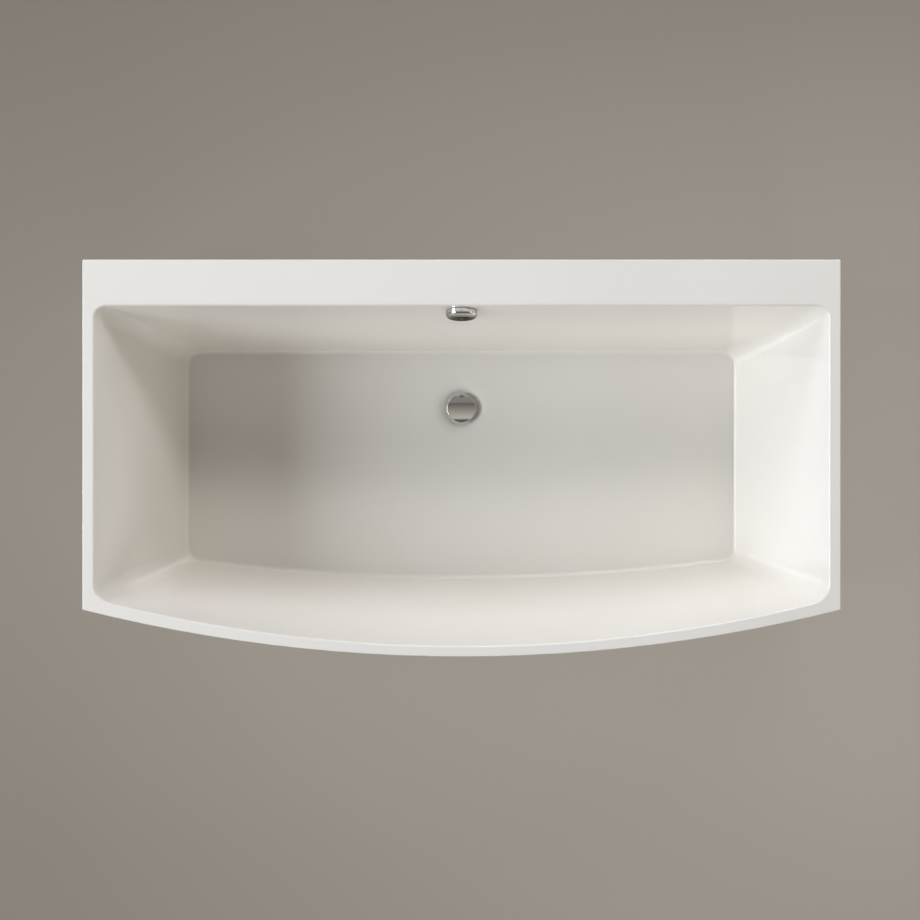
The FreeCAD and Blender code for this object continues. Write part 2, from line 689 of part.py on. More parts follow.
def front_stay_screws(side):
    """Seats and directions: into the front skirt, and up into the cradle's web."""
    face = OUTER.grown(-(SKIRT_INSIDE + SEAT_GAP + STAY_SHEET))
    x = side * CRADLE_X
    way = Vector(x, face.front_y(x) - face.arc_centre_y(), 0).normalize()
    z = FRONT_STAY_Z - STAY_SHEET / 2 - STAY_TAB / 2
    skirt = (Vector(0, face.arc_centre_y(), z) + way * face.arc_radius, way, SKIRT_SCREW_LENGTH)
    web_y = CRADLE_Y - CRADLE_LENGTH / 2 + STAY_WIDTH * 0.7
    web = (Vector(x, web_y, FRONT_STAY_Z - STAY_SHEET), Vector(0, 0, 1), CRADLE_STAY_SCREW_LENGTH)
    return [skirt, web]


def corner_screws_at(side):
    """Seats and directions on both legs of a corner angle."""
    seats = []
    way = Vector(side, 0, 0)
    arm_x = side * (SKIRT_X - SEAT_GAP - ANGLE_SHEET)
    face = OUTER.grown(-(SKIRT_INSIDE + SEAT_GAP + ANGLE_SHEET))
    x = side * (SKIRT_X - ANGLE_LEG * 0.66)
    front_way = Vector(x, face.front_y(x) - face.arc_centre_y(), 0).normalize()
    front = Vector(0, face.arc_centre_y(), 0) + front_way * face.arc_radius
    for z in (SKIRT_TOP * 0.16, SKIRT_TOP * 0.5, SKIRT_TOP * 0.84):
        y = face.front_y(SKIRT_X) + ANGLE_LEG * 0.66
        seats.append((Vector(arm_x, y, z), way, CORNER_SCREW_LENGTH))
        seats.append((Vector(front.x, front.y, z), front_way, CORNER_SCREW_LENGTH))
    return seats


def without_holes(shape, size, seats):
    for seat, way, length in seats:
        shape = shape.cut(screw_hole(size, seat, way, length))
    return shape


def front_skirt():
    half = HALF_LENGTH - SKIRT_OUTSIDE
    panel = front_band(SKIRT_OUTSIDE, SKIRT_INSIDE, SKIRT_GAP, SKIRT_TOP, half)
    flange = front_band(SKIRT_INSIDE - 1, SKIRT_INSIDE + SKIRT_RETURN, SKIRT_GAP, SKIRT_GAP + SKIRT_SHEET,
                        SKIRT_X - SKIRT_RETURN - 14)
    panel = joined([panel, flange])
    for side in SIDES.values():
        panel = without_holes(panel, STAY_SCREW, front_stay_screws(side)[:1])
        panel = without_holes(panel, SHEET_SCREW, corner_screws_at(side))
    return panel


def end_skirt(side):
    inner = OUTER.grown(-(SKIRT_INSIDE + SEAM_GAP))
    low_x, high_x = sorted((side * SKIRT_X, side * (SKIRT_X + SKIRT_SHEET)))
    panel = box(Vector(low_x, -WIDTH, SKIRT_GAP), Vector(high_x, BACK_Y - SKIRT_OUTSIDE, SKIRT_TOP))
    centre = Vector(0, inner.arc_centre_y(), 0)
    panel = panel.common(rod(inner.arc_radius, centre, centre + Vector(0, 0, HEIGHT)))
    low_x, high_x = sorted((side * (SKIRT_X + 1), side * (SKIRT_X - SKIRT_RETURN)))
    front = inner.front_y(SKIRT_X) + SKIRT_RETURN + 14
    edge = BACK_Y - SKIRT_OUTSIDE
    flange = box(Vector(low_x, front, SKIRT_GAP), Vector(high_x, edge - 1, SKIRT_GAP + SKIRT_SHEET))
    post = box(Vector(low_x, edge - SKIRT_SHEET, SKIRT_GAP), Vector(high_x, edge, HEIGHT - LIP_DEPTH))
    panel = joined([panel, flange, post])
    panel = without_holes(panel, STAY_SCREW, end_stay_screws(side)[:2])
    return without_holes(panel, SHEET_SCREW, corner_screws_at(side))


def skirt_retainers():
    low = RIM_UNDERSIDE - RETAINER_HEIGHT
    near = SKIRT_INSIDE + SEAT_GAP
    far = near + RETAINER_THICKNESS
    half = RETAINER_LENGTH / 2
    middles = [x * HALF_LENGTH for x in (-0.75, -0.25, 0.25, 0.75)]
    blocks = [front_band(near, far, low, RIM_UNDERSIDE, half, x) for x in middles]
    for side in SIDES.values():
        for y in (-0.22, 0.22):
            x0, x1 = sorted((side * (HALF_LENGTH - near), side * (HALF_LENGTH - far)))
            middle = y * WIDTH
            blocks.append(box(Vector(x0, middle - half, low), Vector(x1, middle + half, RIM_UNDERSIDE)))
    return Part.makeCompound(blocks)


def corner_angle(side):
    near = SKIRT_INSIDE + SEAT_GAP
    far = near + ANGLE_SHEET
    low, high = SKIRT_TOP * 0.08, SKIRT_TOP * 0.9
    face = OUTER.grown(-near)
    middle = side * (HALF_LENGTH - near - ANGLE_LEG / 2)
    front = front_band(near, far, low, high, ANGLE_LEG / 2, middle)
    x0, x1 = sorted((side * (HALF_LENGTH - near), side * (HALF_LENGTH - far)))
    corner_y = face.front_y(HALF_LENGTH - near)
    end = box(Vector(x0, corner_y, low), Vector(x1, corner_y + ANGLE_LEG, high))
    return without_holes(joined([front, end]), SHEET_SCREW, corner_screws_at(side))


def screws(size, seats):
    return Part.makeCompound([screw(size, seat, way, length) for seat, way, length in seats])


def cradle(side):
    middle = side * CRADLE_X
    half = HAT_WIDTH / 2
    y0 = CRADLE_Y - CRADLE_LENGTH / 2
    y1 = CRADLE_Y + CRADLE_LENGTH / 2
    hat = [box(Vector(middle - HAT_SIDE, y0, WEB_BOTTOM), Vector(middle + HAT_SIDE, y1, WEB_TOP))]
    for way in (-1, 1):
        x0, x1 = sorted((middle + way * half, middle + way * HAT_SIDE))
        hat.append(box(Vector(x0, y0, WEB_BOTTOM), Vector(x1, y1, BOARD_BOTTOM)))
        x0, x1 = sorted((middle + way * half, middle + way * (HAT_SIDE + HAT_FLANGE)))
        hat.append(box(Vector(x0, y0, BOARD_BOTTOM - HAT_SHEET), Vector(x1, y1, BOARD_BOTTOM)))
    hat = joined(hat)
    for y in LEG_YS.values():
        hat = hat.cut(rod(STUD_RADIUS + 0.7, Vector(middle, y, 0), Vector(middle, y, BOARD_BOTTOM - 1)))
    for seat in cradle_screw_seats():
        hat = hat.cut(screw_hole(WOOD_SCREW, seat, Vector(0, 0, 1), CRADLE_SCREW_LENGTH))
    hat = without_holes(hat, STAY_SCREW, end_stay_screws(side)[2:])
    return without_holes(hat, STAY_SCREW, front_stay_screws(side)[1:])


def leg_stud(side, y):
    """Threaded stud with a collar and a ball that sits in the foot pad."""
    collar = COLLAR_Z
    top = BOARD_BOTTOM - STUD_TOP_GAP
    flange = STUD_RADIUS + 2
    profile = [(0, collar - 2), (flange, collar - 2), (flange, collar + 4), (STUD_RADIUS, collar + 5)]
    turns = int((top - collar - 7) / STUD_PITCH)
    for turn in range(turns):
        z = collar + 6 + turn * STUD_PITCH
        profile.append((STUD_RADIUS, z))
        profile.append((STUD_ROOT_RADIUS, z + STUD_PITCH / 2))
    profile.append((STUD_RADIUS, collar + 6 + turns * STUD_PITCH))
    profile.append((STUD_ROOT_RADIUS, top))
    profile.append((0, top))
    stud = turned(profile)
    ball = Part.makeSphere(BALL_RADIUS, Vector(0, 0, BALL_Z))
    neck = rod(STUD_ROOT_RADIUS, Vector(0, 0, BALL_Z), Vector(0, 0, collar))
    stud = joined([stud, ball, neck])
    stud.translate(Vector(side * CRADLE_X, y, 0))
    return stud


def foot_pad(side, y):
    profile = [(0, 0), (PAD_RADIUS - 1.5, 0), (PAD_RADIUS, 1.5), (PAD_RADIUS, 5), (PAD_RADIUS - 2, 7),
               (BALL_RADIUS + 7, PAD_HEIGHT - 7), (BALL_RADIUS + 5, PAD_HEIGHT), (0, PAD_HEIGHT)]
    pad = turned(profile)
    pad = pad.cut(Part.makeSphere(BALL_RADIUS + 0.15, Vector(0, 0, BALL_Z)))
    mouth = turned([(0, BALL_Z), (STUD_ROOT_RADIUS + 1.2, BALL_Z), (STUD_ROOT_RADIUS + 2.4, PAD_HEIGHT + 1),
                    (0, PAD_HEIGHT + 1)])
    pad = pad.cut(mouth)
    pad.translate(Vector(side * CRADLE_X, y, 0))
    return pad


def leg_lock_nuts():
    nuts = []
    for side in SIDES.values():
        for y in LEG_YS.values():
            for base in (WEB_BOTTOM - NUT_HEIGHT, WEB_TOP):
                at = Vector(side * CRADLE_X, y, base)
                bore = rod(STUD_RADIUS + STUD_CLEARANCE, at, at + Vector(0, 0, NUT_HEIGHT))
                nuts.append(hexagon(NUT_ACROSS_FLATS, NUT_HEIGHT, at).cut(bore))
    return Part.makeCompound(nuts)


def end_stays(side):
    stays = []
    outer = side * (SKIRT_X - SEAT_GAP)
    inner = side * (CRADLE_X + HAT_SIDE)
    for y in END_STAY_YS:
        y0, y1 = y - STAY_WIDTH / 2, y + STAY_WIDTH / 2
        x0, x1 = sorted((outer, inner))
        pieces = [box(Vector(x0, y0, END_STAY_Z), Vector(x1, y1, END_STAY_Z + STAY_SHEET))]
        for x, way in ((outer, -1), (inner, 1)):
            t0, t1 = sorted((x, x + side * way * STAY_SHEET))
            high = END_STAY_Z + STAY_SHEET + STAY_TAB
            pieces.append(box(Vector(t0, y0, END_STAY_Z), Vector(t1, y1, high)))
        stays.append(without_holes(joined(pieces), STAY_SCREW, end_stay_screws(side)))
    return Part.makeCompound(stays)


def front_stays():
    stays = []
    near = SKIRT_INSIDE + SEAT_GAP
    for side in SIDES.values():
        x = side * CRADLE_X
        half = STAY_WIDTH / 2
        inner_y = CRADLE_Y - CRADLE_LENGTH / 2 + STAY_WIDTH * 1.4
        low = FRONT_STAY_Z - STAY_SHEET
        bar = box(Vector(x - half, -WIDTH, low), Vector(x + half, inner_y, FRONT_STAY_Z))
        face = OUTER.grown(-(near + STAY_SHEET / 2))
        centre = Vector(0, face.arc_centre_y(), 0)
        bar = bar.common(rod(face.arc_radius, centre, centre + Vector(0, 0, HEIGHT)))
        tab = front_band(near, near + STAY_SHEET, low - STAY_TAB, FRONT_STAY_Z, half, x)
        stays.append(without_holes(joined([bar, tab]), STAY_SCREW, front_stay_screws(side)))
    return Part.makeCompound(stays)


def overflow_flange():
    """Ring that clamps the wall; two ribs carry its screws and the spindle's bearing."""
    spigot_end = ELBOW_FACE + 0.5
    spigot_bore = FACE_SPIGOT_RADIUS - 2.5
    ring = turned([(spigot_bore, spigot_end), (FACE_SPIGOT_RADIUS, spigot_end), (FACE_SPIGOT_RADIUS, 0),
                   (FACE_FLANGE_RADIUS, 0), (FACE_FLANGE_RADIUS - 0.6, FACE_FLANGE_THICKNESS),
                   (spigot_bore, FACE_FLANGE_THICKNESS)])
    ribs = box(Vector(-spigot_bore - 1, -5, -7), Vector(spigot_bore + 1, 5, 0))
    boss = rod(SPINDLE_RADIUS + 4, Vector(0, 0, -9), Vector(0, 0, 0))
    flange = joined([ring, ribs, boss])
    flange = flange.cut(rod(SPINDLE_RADIUS + RUNNING_FIT, Vector(0, 0, -20), Vector(0, 0, 20)))
    return on_wall(without_holes(flange, FACE_SCREW, face_screw_seats()))


def face_screw_seats():
    return [(Vector(x, 0, 0), Vector(0, 0, -1), 30.0) for x in (-FACE_SCREW_X, FACE_SCREW_X)]


def overflow_knob():
    """Turned cup: a rounded edge, a slightly crowned face, a hub, and slots for the water underneath."""
    low = KNOB_STANDOFF
    high = KNOB_STANDOFF + KNOB_DEPTH
    rim = KNOB_RADIUS - KNOB_EDGE
    inner = KNOB_RADIUS - KNOB_WALL
    shoulder = high - KNOB_CROWN
    ceiling = shoulder - KNOB_WALL
    corner = KNOB_EDGE * (1 - math.sqrt(0.5))
    slant = KNOB_EDGE / 2
    hub = SPINDLE_RADIUS + 4
    side = [Vector(inner, 0, low), Vector(KNOB_RADIUS, 0, low), Vector(KNOB_RADIUS, 0, shoulder - KNOB_EDGE)]
    edges = [line(side[0], side[1]), line(side[1], side[2])]
    edges.append(arc(side[2], Vector(KNOB_RADIUS - corner, 0, shoulder - corner), Vector(rim, 0, shoulder)))
    edges.append(dome(rim, shoulder, high))
    hub_low = low - 0.6
    back = [Vector(0, 0, high), Vector(0, 0, hub_low), Vector(hub, 0, hub_low), Vector(hub, 0, ceiling),
            Vector(inner - slant, 0, ceiling), Vector(inner, 0, ceiling - slant), side[0]]
    edges += [line(p, q) for p, q in zip(back, back[1:])]
    knob = turned(edges)
    bore = rod(SPINDLE_RADIUS + RUNNING_FIT, Vector(0, 0, 0), Vector(0, 0, SPINDLE_END + 0.3))
    knob = knob.cut(bore)
    half = KNOB_SLOT_WIDTH / 2
    for number in range(KNOB_SLOTS):
        slot = box(Vector(-half, -KNOB_RADIUS - 1, 0), Vector(half, KNOB_WALL - inner, low + KNOB_SLOT_DEPTH))
        turn = (number / (KNOB_SLOTS - 1) - 0.5) * KNOB_SLOT_SPREAD
        slot.rotate(Vector(0, 0, 0), Vector(0, 0, 1), turn)
        knob = knob.cut(slot)
    return on_wall(knob)


def knob_spindle():
    return on_wall(rod(SPINDLE_RADIUS, Vector(0, 0, ELBOW_BACK + 0.5), Vector(0, 0, SPINDLE_END)))


def overflow_screws():
    return on_wall(screws(FACE_SCREW, face_screw_seats()))


def overflow_seal():
    seal = turned([(OVERFLOW_HOLE_RADIUS + 1.5, ELBOW_FACE), (ELBOW_RIM_RADIUS, ELBOW_FACE),
                   (ELBOW_RIM_RADIUS, SEAL_FACE), (OVERFLOW_HOLE_RADIUS + 1.5, SEAL_FACE)])
    return on_wall(seal)


def overflow_elbow():
    inner = ELBOW_RADIUS - ELBOW_WALL
    cup = turned([(inner, ELBOW_FACE), (ELBOW_RIM_RADIUS, ELBOW_FACE), (ELBOW_RIM_RADIUS, ELBOW_FACE - 4),
                  (ELBOW_RADIUS, ELBOW_FACE - 4), (ELBOW_RADIUS, ELBOW_BACK), (0, ELBOW_BACK),
                  (0, ELBOW_BACK + ELBOW_WALL), (inner, ELBOW_BACK + ELBOW_WALL)])
    hollow = rod(inner, Vector(0, 0, ELBOW_BACK + ELBOW_WALL), Vector(0, 0, ELBOW_FACE + 1))
    socket = rod(SOCKET_RADIUS, Vector(0, -10, PIPE_LEVEL), Vector(0, -ELBOW_SOCKET_END, PIPE_LEVEL))
    gland_boss = rod(GLAND_RADIUS + 1.5, Vector(GLAND_X, -8, GLAND_Z), Vector(GLAND_X, GLAND_SEAT, GLAND_Z))
    added = joined([socket, gland_boss]).cut(hollow)
    elbow = joined([cup, added])
    pipe_end = Vector(0, -ELBOW_SOCKET_END - 1, PIPE_LEVEL)
    elbow = elbow.cut(rod(PIPE_RADIUS + SOCKET_FIT, Vector(0, 0, PIPE_LEVEL), pipe_end))
    cable_end = Vector(GLAND_X, GLAND_SEAT - 1, GLAND_Z)
    elbow = elbow.cut(rod(CABLE_RADIUS + SOCKET_FIT, Vector(GLAND_X, 0, GLAND_Z), cable_end))
    bearing = rod(SPINDLE_RADIUS + 3, Vector(0, 0, ELBOW_BACK), Vector(0, 0, CAM_BACK - 0.6))
    lugs = []
    for side in SIDES.values():
        x0, x1 = sorted((side * (FACE_SCREW_X - 4), side * (ELBOW_RADIUS - 1.5)))
        lugs.append(box(Vector(x0, -4, ELBOW_FACE - 19), Vector(x1, 4, ELBOW_FACE - 3)))
    elbow = joined([elbow, bearing] + lugs)
    elbow = elbow.cut(rod(SPINDLE_RADIUS + RUNNING_FIT, Vector(0, 0, ELBOW_BACK + 0.3), Vector(0, 0, 0)))
    return on_wall(without_holes(elbow, FACE_SCREW, face_screw_seats()))


def cable_cam():
    """Small spool on the spindle that winds the cable's core."""
    low, high = CAM_BACK, CAM_BACK + CAM_THICKNESS
    bore = SPINDLE_RADIUS + RUNNING_FIT
    return on_wall(turned([(bore, low), (CAM_RADIUS, low), (CAM_RADIUS, low + 1.5),
                           (CAM_ROOT_RADIUS, low + 1.5), (CAM_ROOT_RADIUS, high - 1.5),
                           (CAM_RADIUS, high - 1.5), (CAM_RADIUS, high), (bore, high)]))


DOWN_WALL = (at_wall(0, -1, 0) - at_wall(0, 0, 0)).normalize()
PIPE_CORNER_DROP = (INLET_Z - at_wall(0, 0, PIPE_LEVEL).z) / DOWN_WALL.z


def pipe_path():
    start = at_wall(0, -(ELBOW_SOCKET_END - SOCKET_GRIP), PIPE_LEVEL)
    corner = at_wall(0, -PIPE_CORNER_DROP, PIPE_LEVEL)
    end = Vector(0, INLET_END_Y - SOCKET_GRIP, INLET_Z)
    return rounded_path([start, corner, end], [PIPE_BEND])


def overflow_pipe():
    path = pipe_path()
    return swept(path, PIPE_RADIUS).cut(swept(path, PIPE_RADIUS - PIPE_WALL))


def pipe_nut():
    """Drawn about +Z: the mouth grips the socket's end, the far lip closes on the pipe."""
    mouth = (SOCKET_RADIUS + SOCKET_FIT, -1, PIPE_NUT_STEP)
    lip = (PIPE_RADIUS + SOCKET_FIT, -1, PIPE_NUT_LENGTH + 1)
    return ribbed_nut(SOCKET_RADIUS + PIPE_NUT_WALL, [mouth, lip], PIPE_NUT_LENGTH, 12)


def pipe_nut_upper():
    base = at_wall(0, PIPE_NUT_STEP - 0.5 - ELBOW_SOCKET_END, PIPE_LEVEL)
    return along(pipe_nut(), base, DOWN_WALL)


def pipe_nut_lower():
    base = Vector(0, INLET_END_Y - PIPE_NUT_STEP + 0.5, INLET_Z)
    return along(pipe_nut(), base, Vector(0, 1, 0))


def cable_path():
    """From the elbow's gland down beside the pipe, under the board's edge and round to the drain body."""
    start = at_wall(GLAND_X, GLAND_SEAT - 1, GLAND_Z)
    below = at_wall(GLAND_X, GLAND_SEAT - CABLE_JOG_START, GLAND_Z)
    upper = at_wall(CABLE_X, GLAND_SEAT - CABLE_JOG_END, GLAND_Z)
    lower = upper + DOWN_WALL * ((CABLE_Z - upper.z) / DOWN_WALL.z)
    turn_in = Vector(BODY_RIM_RADIUS + CABLE_SIDE_REACH, WASTE_Y, CABLE_Z)
    end = Vector(BODY_RADIUS + 6, WASTE_Y, CABLE_Z)
    bends = [CABLE_JOG_BEND, CABLE_JOG_BEND, *CABLE_LOWER_BENDS]
    return rounded_path([start, below, upper, lower, turn_in, end], bends)


def control_cable():
    return swept(cable_path(), CABLE_RADIUS)


def gland():
    body = ribbed_nut(GLAND_RADIUS, [], GLAND_LENGTH, 8)
    nose = Part.makeCone(GLAND_RADIUS, CABLE_RADIUS + 1.2, 7, Vector(0, 0, GLAND_LENGTH))
    bore = rod(CABLE_RADIUS + SOCKET_FIT, Vector(0, 0, -1), Vector(0, 0, GLAND_LENGTH + 8))
    return joined([body, nose]).cut(bore)


def cable_gland_upper():
    return along(gland(), at_wall(GLAND_X, GLAND_SEAT, GLAND_Z), DOWN_WALL)


def cable_gland_lower():
    return along(gland(), Vector(BODY_RADIUS + 8, WASTE_Y, CABLE_Z), Vector(1, 0, 0))


def cable_clips():
    """Two bands round the pipe with a hook that holds the cable."""
    clips = []
    half = Vector(0, CLIP_WIDTH / 2, 0)
    pipe_bore = PIPE_RADIUS + SOCKET_FIT
    cable_bore = CABLE_RADIUS + SOCKET_FIT
    for place in CLIP_PLACES:
        drop = place * PIPE_CORNER_DROP
        on_pipe = Vector(0, -drop, PIPE_LEVEL)
        on_cable = Vector(CABLE_X, -drop, GLAND_Z)
        band = tube(pipe_bore + 2.4, pipe_bore, on_pipe - half, on_pipe + half)
        hook = tube(cable_bore + 2.2, cable_bore, on_cable - half, on_cable + half)
        across = on_cable - on_pipe
        low = Vector(-1.5, -CLIP_WIDTH / 2, pipe_bore + 1)
        high = Vector(1.5, CLIP_WIDTH / 2, across.Length - cable_bore - 0.8)
        bridge = along(box(low, high), on_pipe, across)
        clips.append(on_wall(joined([band, hook, bridge])))
    return Part.makeCompound(clips)


def drain_flange():
    """Seat ring with a neck, and a cross that guides the plug's stem."""
    bore = NECK_RADIUS - DRAIN_NECK_WALL
    ring = turned([(bore, NECK_BOTTOM), (NECK_RADIUS, NECK_BOTTOM), (NECK_RADIUS, FLANGE_UNDERSIDE),
                   (DRAIN_FLANGE_RADIUS, FLANGE_UNDERSIDE), (DRAIN_FLANGE_RADIUS - 1.5, FLANGE_TOP),
                   (bore + 3, FLANGE_TOP), (bore, FLANGE_TOP - 3)], WASTE)
    low, high = WASTE + Vector(0, 0, NECK_BOTTOM), WASTE + Vector(0, 0, FLANGE_UNDERSIDE - 8)
    cross = [rod(STEM_RADIUS + 3, low, high)]
    for angle in (45, 135):
        bar = box(Vector(-bore - 1, -1.5, NECK_BOTTOM), Vector(bore + 1, 1.5, FLANGE_UNDERSIDE - 9))
        bar.rotate(Vector(0, 0, 0), Vector(0, 0, 1), angle)
        bar.translate(WASTE)
        cross.append(bar)
    guide = rod(STEM_RADIUS + RUNNING_FIT, WASTE, WASTE + Vector(0, 0, HEIGHT))
    return joined([ring] + cross).cut(guide)


def ring_about_waste(inner, outer, low, high):
    return tube(outer, inner, WASTE + Vector(0, 0, low), WASTE + Vector(0, 0, high))


def flange_gasket():
    return ring_about_waste(WASTE_HOLE_RADIUS + 0.5, DRAIN_FLANGE_RADIUS - 1, DISH_FLOOR, FLANGE_UNDERSIDE)


def drain_body_seal():
    return ring_about_waste(WASTE_HOLE_RADIUS + 1, BODY_RIM_RADIUS - 1, BODY_TOP, PAD_UNDERSIDE)


def drain_body():
    """Chamber under the floor: overflow inlet at the back, cable port at the side, dip tube below."""
    inner = BODY_RADIUS - BODY_WALL
    neck = NECK_RADIUS + SCREW_CLEARANCE
    chamber_top = NECK_BOTTOM - 2
    bottom = CHAMBER_BOTTOM + BODY_WALL
    dip_bore = DIP_RADIUS - 2
    body = turned([(neck, chamber_top), (neck, BODY_TOP), (BODY_RIM_RADIUS, BODY_TOP),
                   (BODY_RIM_RADIUS, BODY_TOP - 5), (BODY_RADIUS, BODY_TOP - 9),
                   (BODY_RADIUS, CHAMBER_BOTTOM), (DIP_RADIUS, CHAMBER_BOTTOM),
                   (DIP_RADIUS, DIP_END_Z), (dip_bore, DIP_END_Z), (dip_bore, bottom),
                   (inner, bottom + 6), (inner, chamber_top)], WASTE)
    hollow = joined([rod(inner, WASTE + Vector(0, 0, bottom + 6), WASTE + Vector(0, 0, chamber_top)),
                     rod(neck, WASTE + Vector(0, 0, bottom), WASTE + Vector(0, 0, BODY_TOP))])
    inlet = Vector(0, WASTE_Y, INLET_Z)
    socket = rod(SOCKET_RADIUS, inlet, Vector(0, INLET_END_Y, INLET_Z)).cut(hollow)
    cable_in = Vector(0, WASTE_Y, CABLE_Z)
    cable_out = Vector(BODY_RADIUS + 8, WASTE_Y, CABLE_Z)
    port = rod(GLAND_RADIUS + 1.5, cable_in, cable_out).cut(hollow)
    lugs = []
    for side in SIDES.values():
        y0, y1 = sorted((WASTE_Y + side * LUG_GAP, WASTE_Y + side * (LUG_GAP + LUG_SHEET)))
        lugs.append(box(Vector(ROCKER_ARM - 5, y0, PIVOT_Z - 5), Vector(inner + 0.5, y1, PIVOT_Z + 5)))
    body = joined([body, socket, port] + lugs)
    inlet_end = inlet + Vector(0, INLET_REACH + 1, 0)
    body = body.cut(rod(PIPE_RADIUS + SOCKET_FIT, inlet + Vector(0, 20, 0), inlet_end))
    body = body.cut(rod(CABLE_RADIUS + SOCKET_FIT, cable_in, cable_out + Vector(1, 0, 0)))
    pin_hole = rod(PIN_RADIUS + RUNNING_FIT / 2, Vector(ROCKER_ARM, WASTE_Y - 20, PIVOT_Z),
                   Vector(ROCKER_ARM, WASTE_Y + 20, PIVOT_Z))
    return body.cut(pin_hole)


def rocker_pin():
    half = LUG_GAP + LUG_SHEET
    pivot = Vector(ROCKER_ARM, WASTE_Y, PIVOT_Z)
    return rod(PIN_RADIUS, pivot - Vector(0, half, 0), pivot + Vector(0, half, 0))


def lift_rocker():
    """Bell crank: the tip lifts the stem, the short arm takes the cable."""
    half = ROCKER_WIDTH / 2
    pivot = Vector(ROCKER_ARM, WASTE_Y, PIVOT_Z)
    wide = Vector(0, half, 0)
    tip = Vector(-ROCKER_ARM, 0, 0)
    hub = rod(PIN_RADIUS + 3, pivot - wide * 1.6, pivot + wide * 1.6)
    nose = rod(ROCKER_TIP_RADIUS, pivot + tip - wide, pivot + tip + wide)
    arm = box(pivot + Vector(-ROCKER_ARM, -half, -2.5), pivot + Vector(0, half, 2.5))
    crank = box(pivot + Vector(-2.2, -half, 0), pivot + Vector(2.2, half, CABLE_ARM + 3))
    crank.rotate(pivot, Vector(0, 1, 0), ROCKER_SWING)
    rocker = joined([hub, nose, arm, crank])
    rocker = rocker.cut(rod(PIN_RADIUS + RUNNING_FIT, pivot - wide * 3, pivot + wide * 3))
    rocker.rotate(pivot, Vector(0, 1, 0), ROCKER_SWING)
    return rocker


def plug_cap():
    """Domed cap, drawn lifted clear of its seat."""
    low = PLUG_REST_Z
    edge = low + PLUG_EDGE
    top = edge + PLUG_DOME
    rim = PLUG_RADIUS - 1.5
    points = [Vector(r, 0, z) for r, z in [
        (0, low + 1), (PLUG_RADIUS - 4, low + 1), (PLUG_RADIUS - 3, low), (PLUG_RADIUS - 0.8, low),
        (PLUG_RADIUS, low + 0.8), (PLUG_RADIUS, edge - 1.2), (rim, edge), (0, top)]]
    edges = [line(p, q) for p, q in zip(points[:6], points[1:6])]
    edges.append(arc(points[5], Vector(PLUG_RADIUS - 0.35, 0, edge - 0.42), points[6]))
    edges.append(dome(rim, edge, top))
    edges.append(line(points[7], points[0]))
    cap = turned(edges, WASTE)
    socket = rod(STEM_RADIUS + RUNNING_FIT, WASTE + Vector(0, 0, low), WASTE + Vector(0, 0, low + 4.2))
    return cap.cut(socket)


def plug_stem():
    return rod(STEM_RADIUS, WASTE + Vector(0, 0, STEM_BOTTOM), WASTE + Vector(0, 0, PLUG_REST_Z + 4))


def plug_seal():
    """Rubber cone that closes on the neck of the drain flange."""
    bore = NECK_RADIUS - DRAIN_NECK_WALL
    high = PLUG_REST_Z + 1
    low = high - 6
    return turned([(STEM_RADIUS + 2, low), (bore - 2.2, low), (bore + 1.2, high - 1.2), (bore + 1.2, high),
                   (STEM_RADIUS + 2, high)], WASTE)


TRAP_SOCKET_END = WASTE_Y + BODY_RADIUS + SOCKET_GRIP + UNION_WALL + TRAP_RIM


def trap_cup():
    inner = BODY_RADIUS - BODY_WALL
    rim = BODY_RADIUS + TRAP_RIM
    low = TRAP_GROUND_GAP
    cup = turned([(0, low), (BODY_RADIUS - 5, low), (BODY_RADIUS, low + 5), (BODY_RADIUS, TRAP_TOP - 5),
                  (rim, TRAP_TOP - 5), (rim, TRAP_TOP), (inner, TRAP_TOP), (inner, low + 6),
                  (inner - 3, low + 3), (0, low + 3)], WASTE)
    hollow = rod(inner, WASTE + Vector(0, 0, low + 3), WASTE + Vector(0, 0, TRAP_TOP))
    middle = Vector(0, WASTE_Y, OUTLET_Z)
    socket = rod(TRAP_SOCKET_RADIUS, middle, Vector(0, TRAP_SOCKET_END, OUTLET_Z)).cut(hollow)
    cup = joined([cup, socket])
    bore = rod(OUTLET_RADIUS - OUTLET_SHOULDER + SOCKET_FIT, middle, Vector(0, TRAP_SOCKET_END + 1, OUTLET_Z))
    return cup.cut(bore)


def trap_union_nut():
    rim = BODY_RADIUS + TRAP_RIM
    nut = ribbed_nut(rim + UNION_WALL,
                     [(BODY_RADIUS + SOCKET_FIT, -1, UNION_LENGTH + 1),
                      (rim + SOCKET_FIT, TRAP_TOP - 5.2 - UNION_BOTTOM, TRAP_TOP + 1 - UNION_BOTTOM)],
                     UNION_LENGTH, 16)
    nut.translate(WASTE + Vector(0, 0, UNION_BOTTOM))
    return nut


def trap_seal():
    return ring_about_waste(BODY_RADIUS - BODY_WALL + 0.5, BODY_RADIUS, TRAP_TOP, CHAMBER_BOTTOM)


def outlet_pipe():
    """Spigot end at the back, stepped down where it enters the trap's socket."""
    start = WASTE_Y + BODY_RADIUS + 2
    end = WASTE_Y + OUTLET_REACH
    step = end - OUTLET_SPIGOT
    slim = OUTLET_RADIUS - OUTLET_SHOULDER
    pipe = rod(slim, Vector(0, start, OUTLET_Z), Vector(0, step, OUTLET_Z))
    spigot = rod(OUTLET_RADIUS, Vector(0, step, OUTLET_Z), Vector(0, end, OUTLET_Z))
    bore = rod(slim - OUTLET_WALL, Vector(0, start - 1, OUTLET_Z), Vector(0, end + 1, OUTLET_Z))
    return joined([pipe, spigot]).cut(bore)


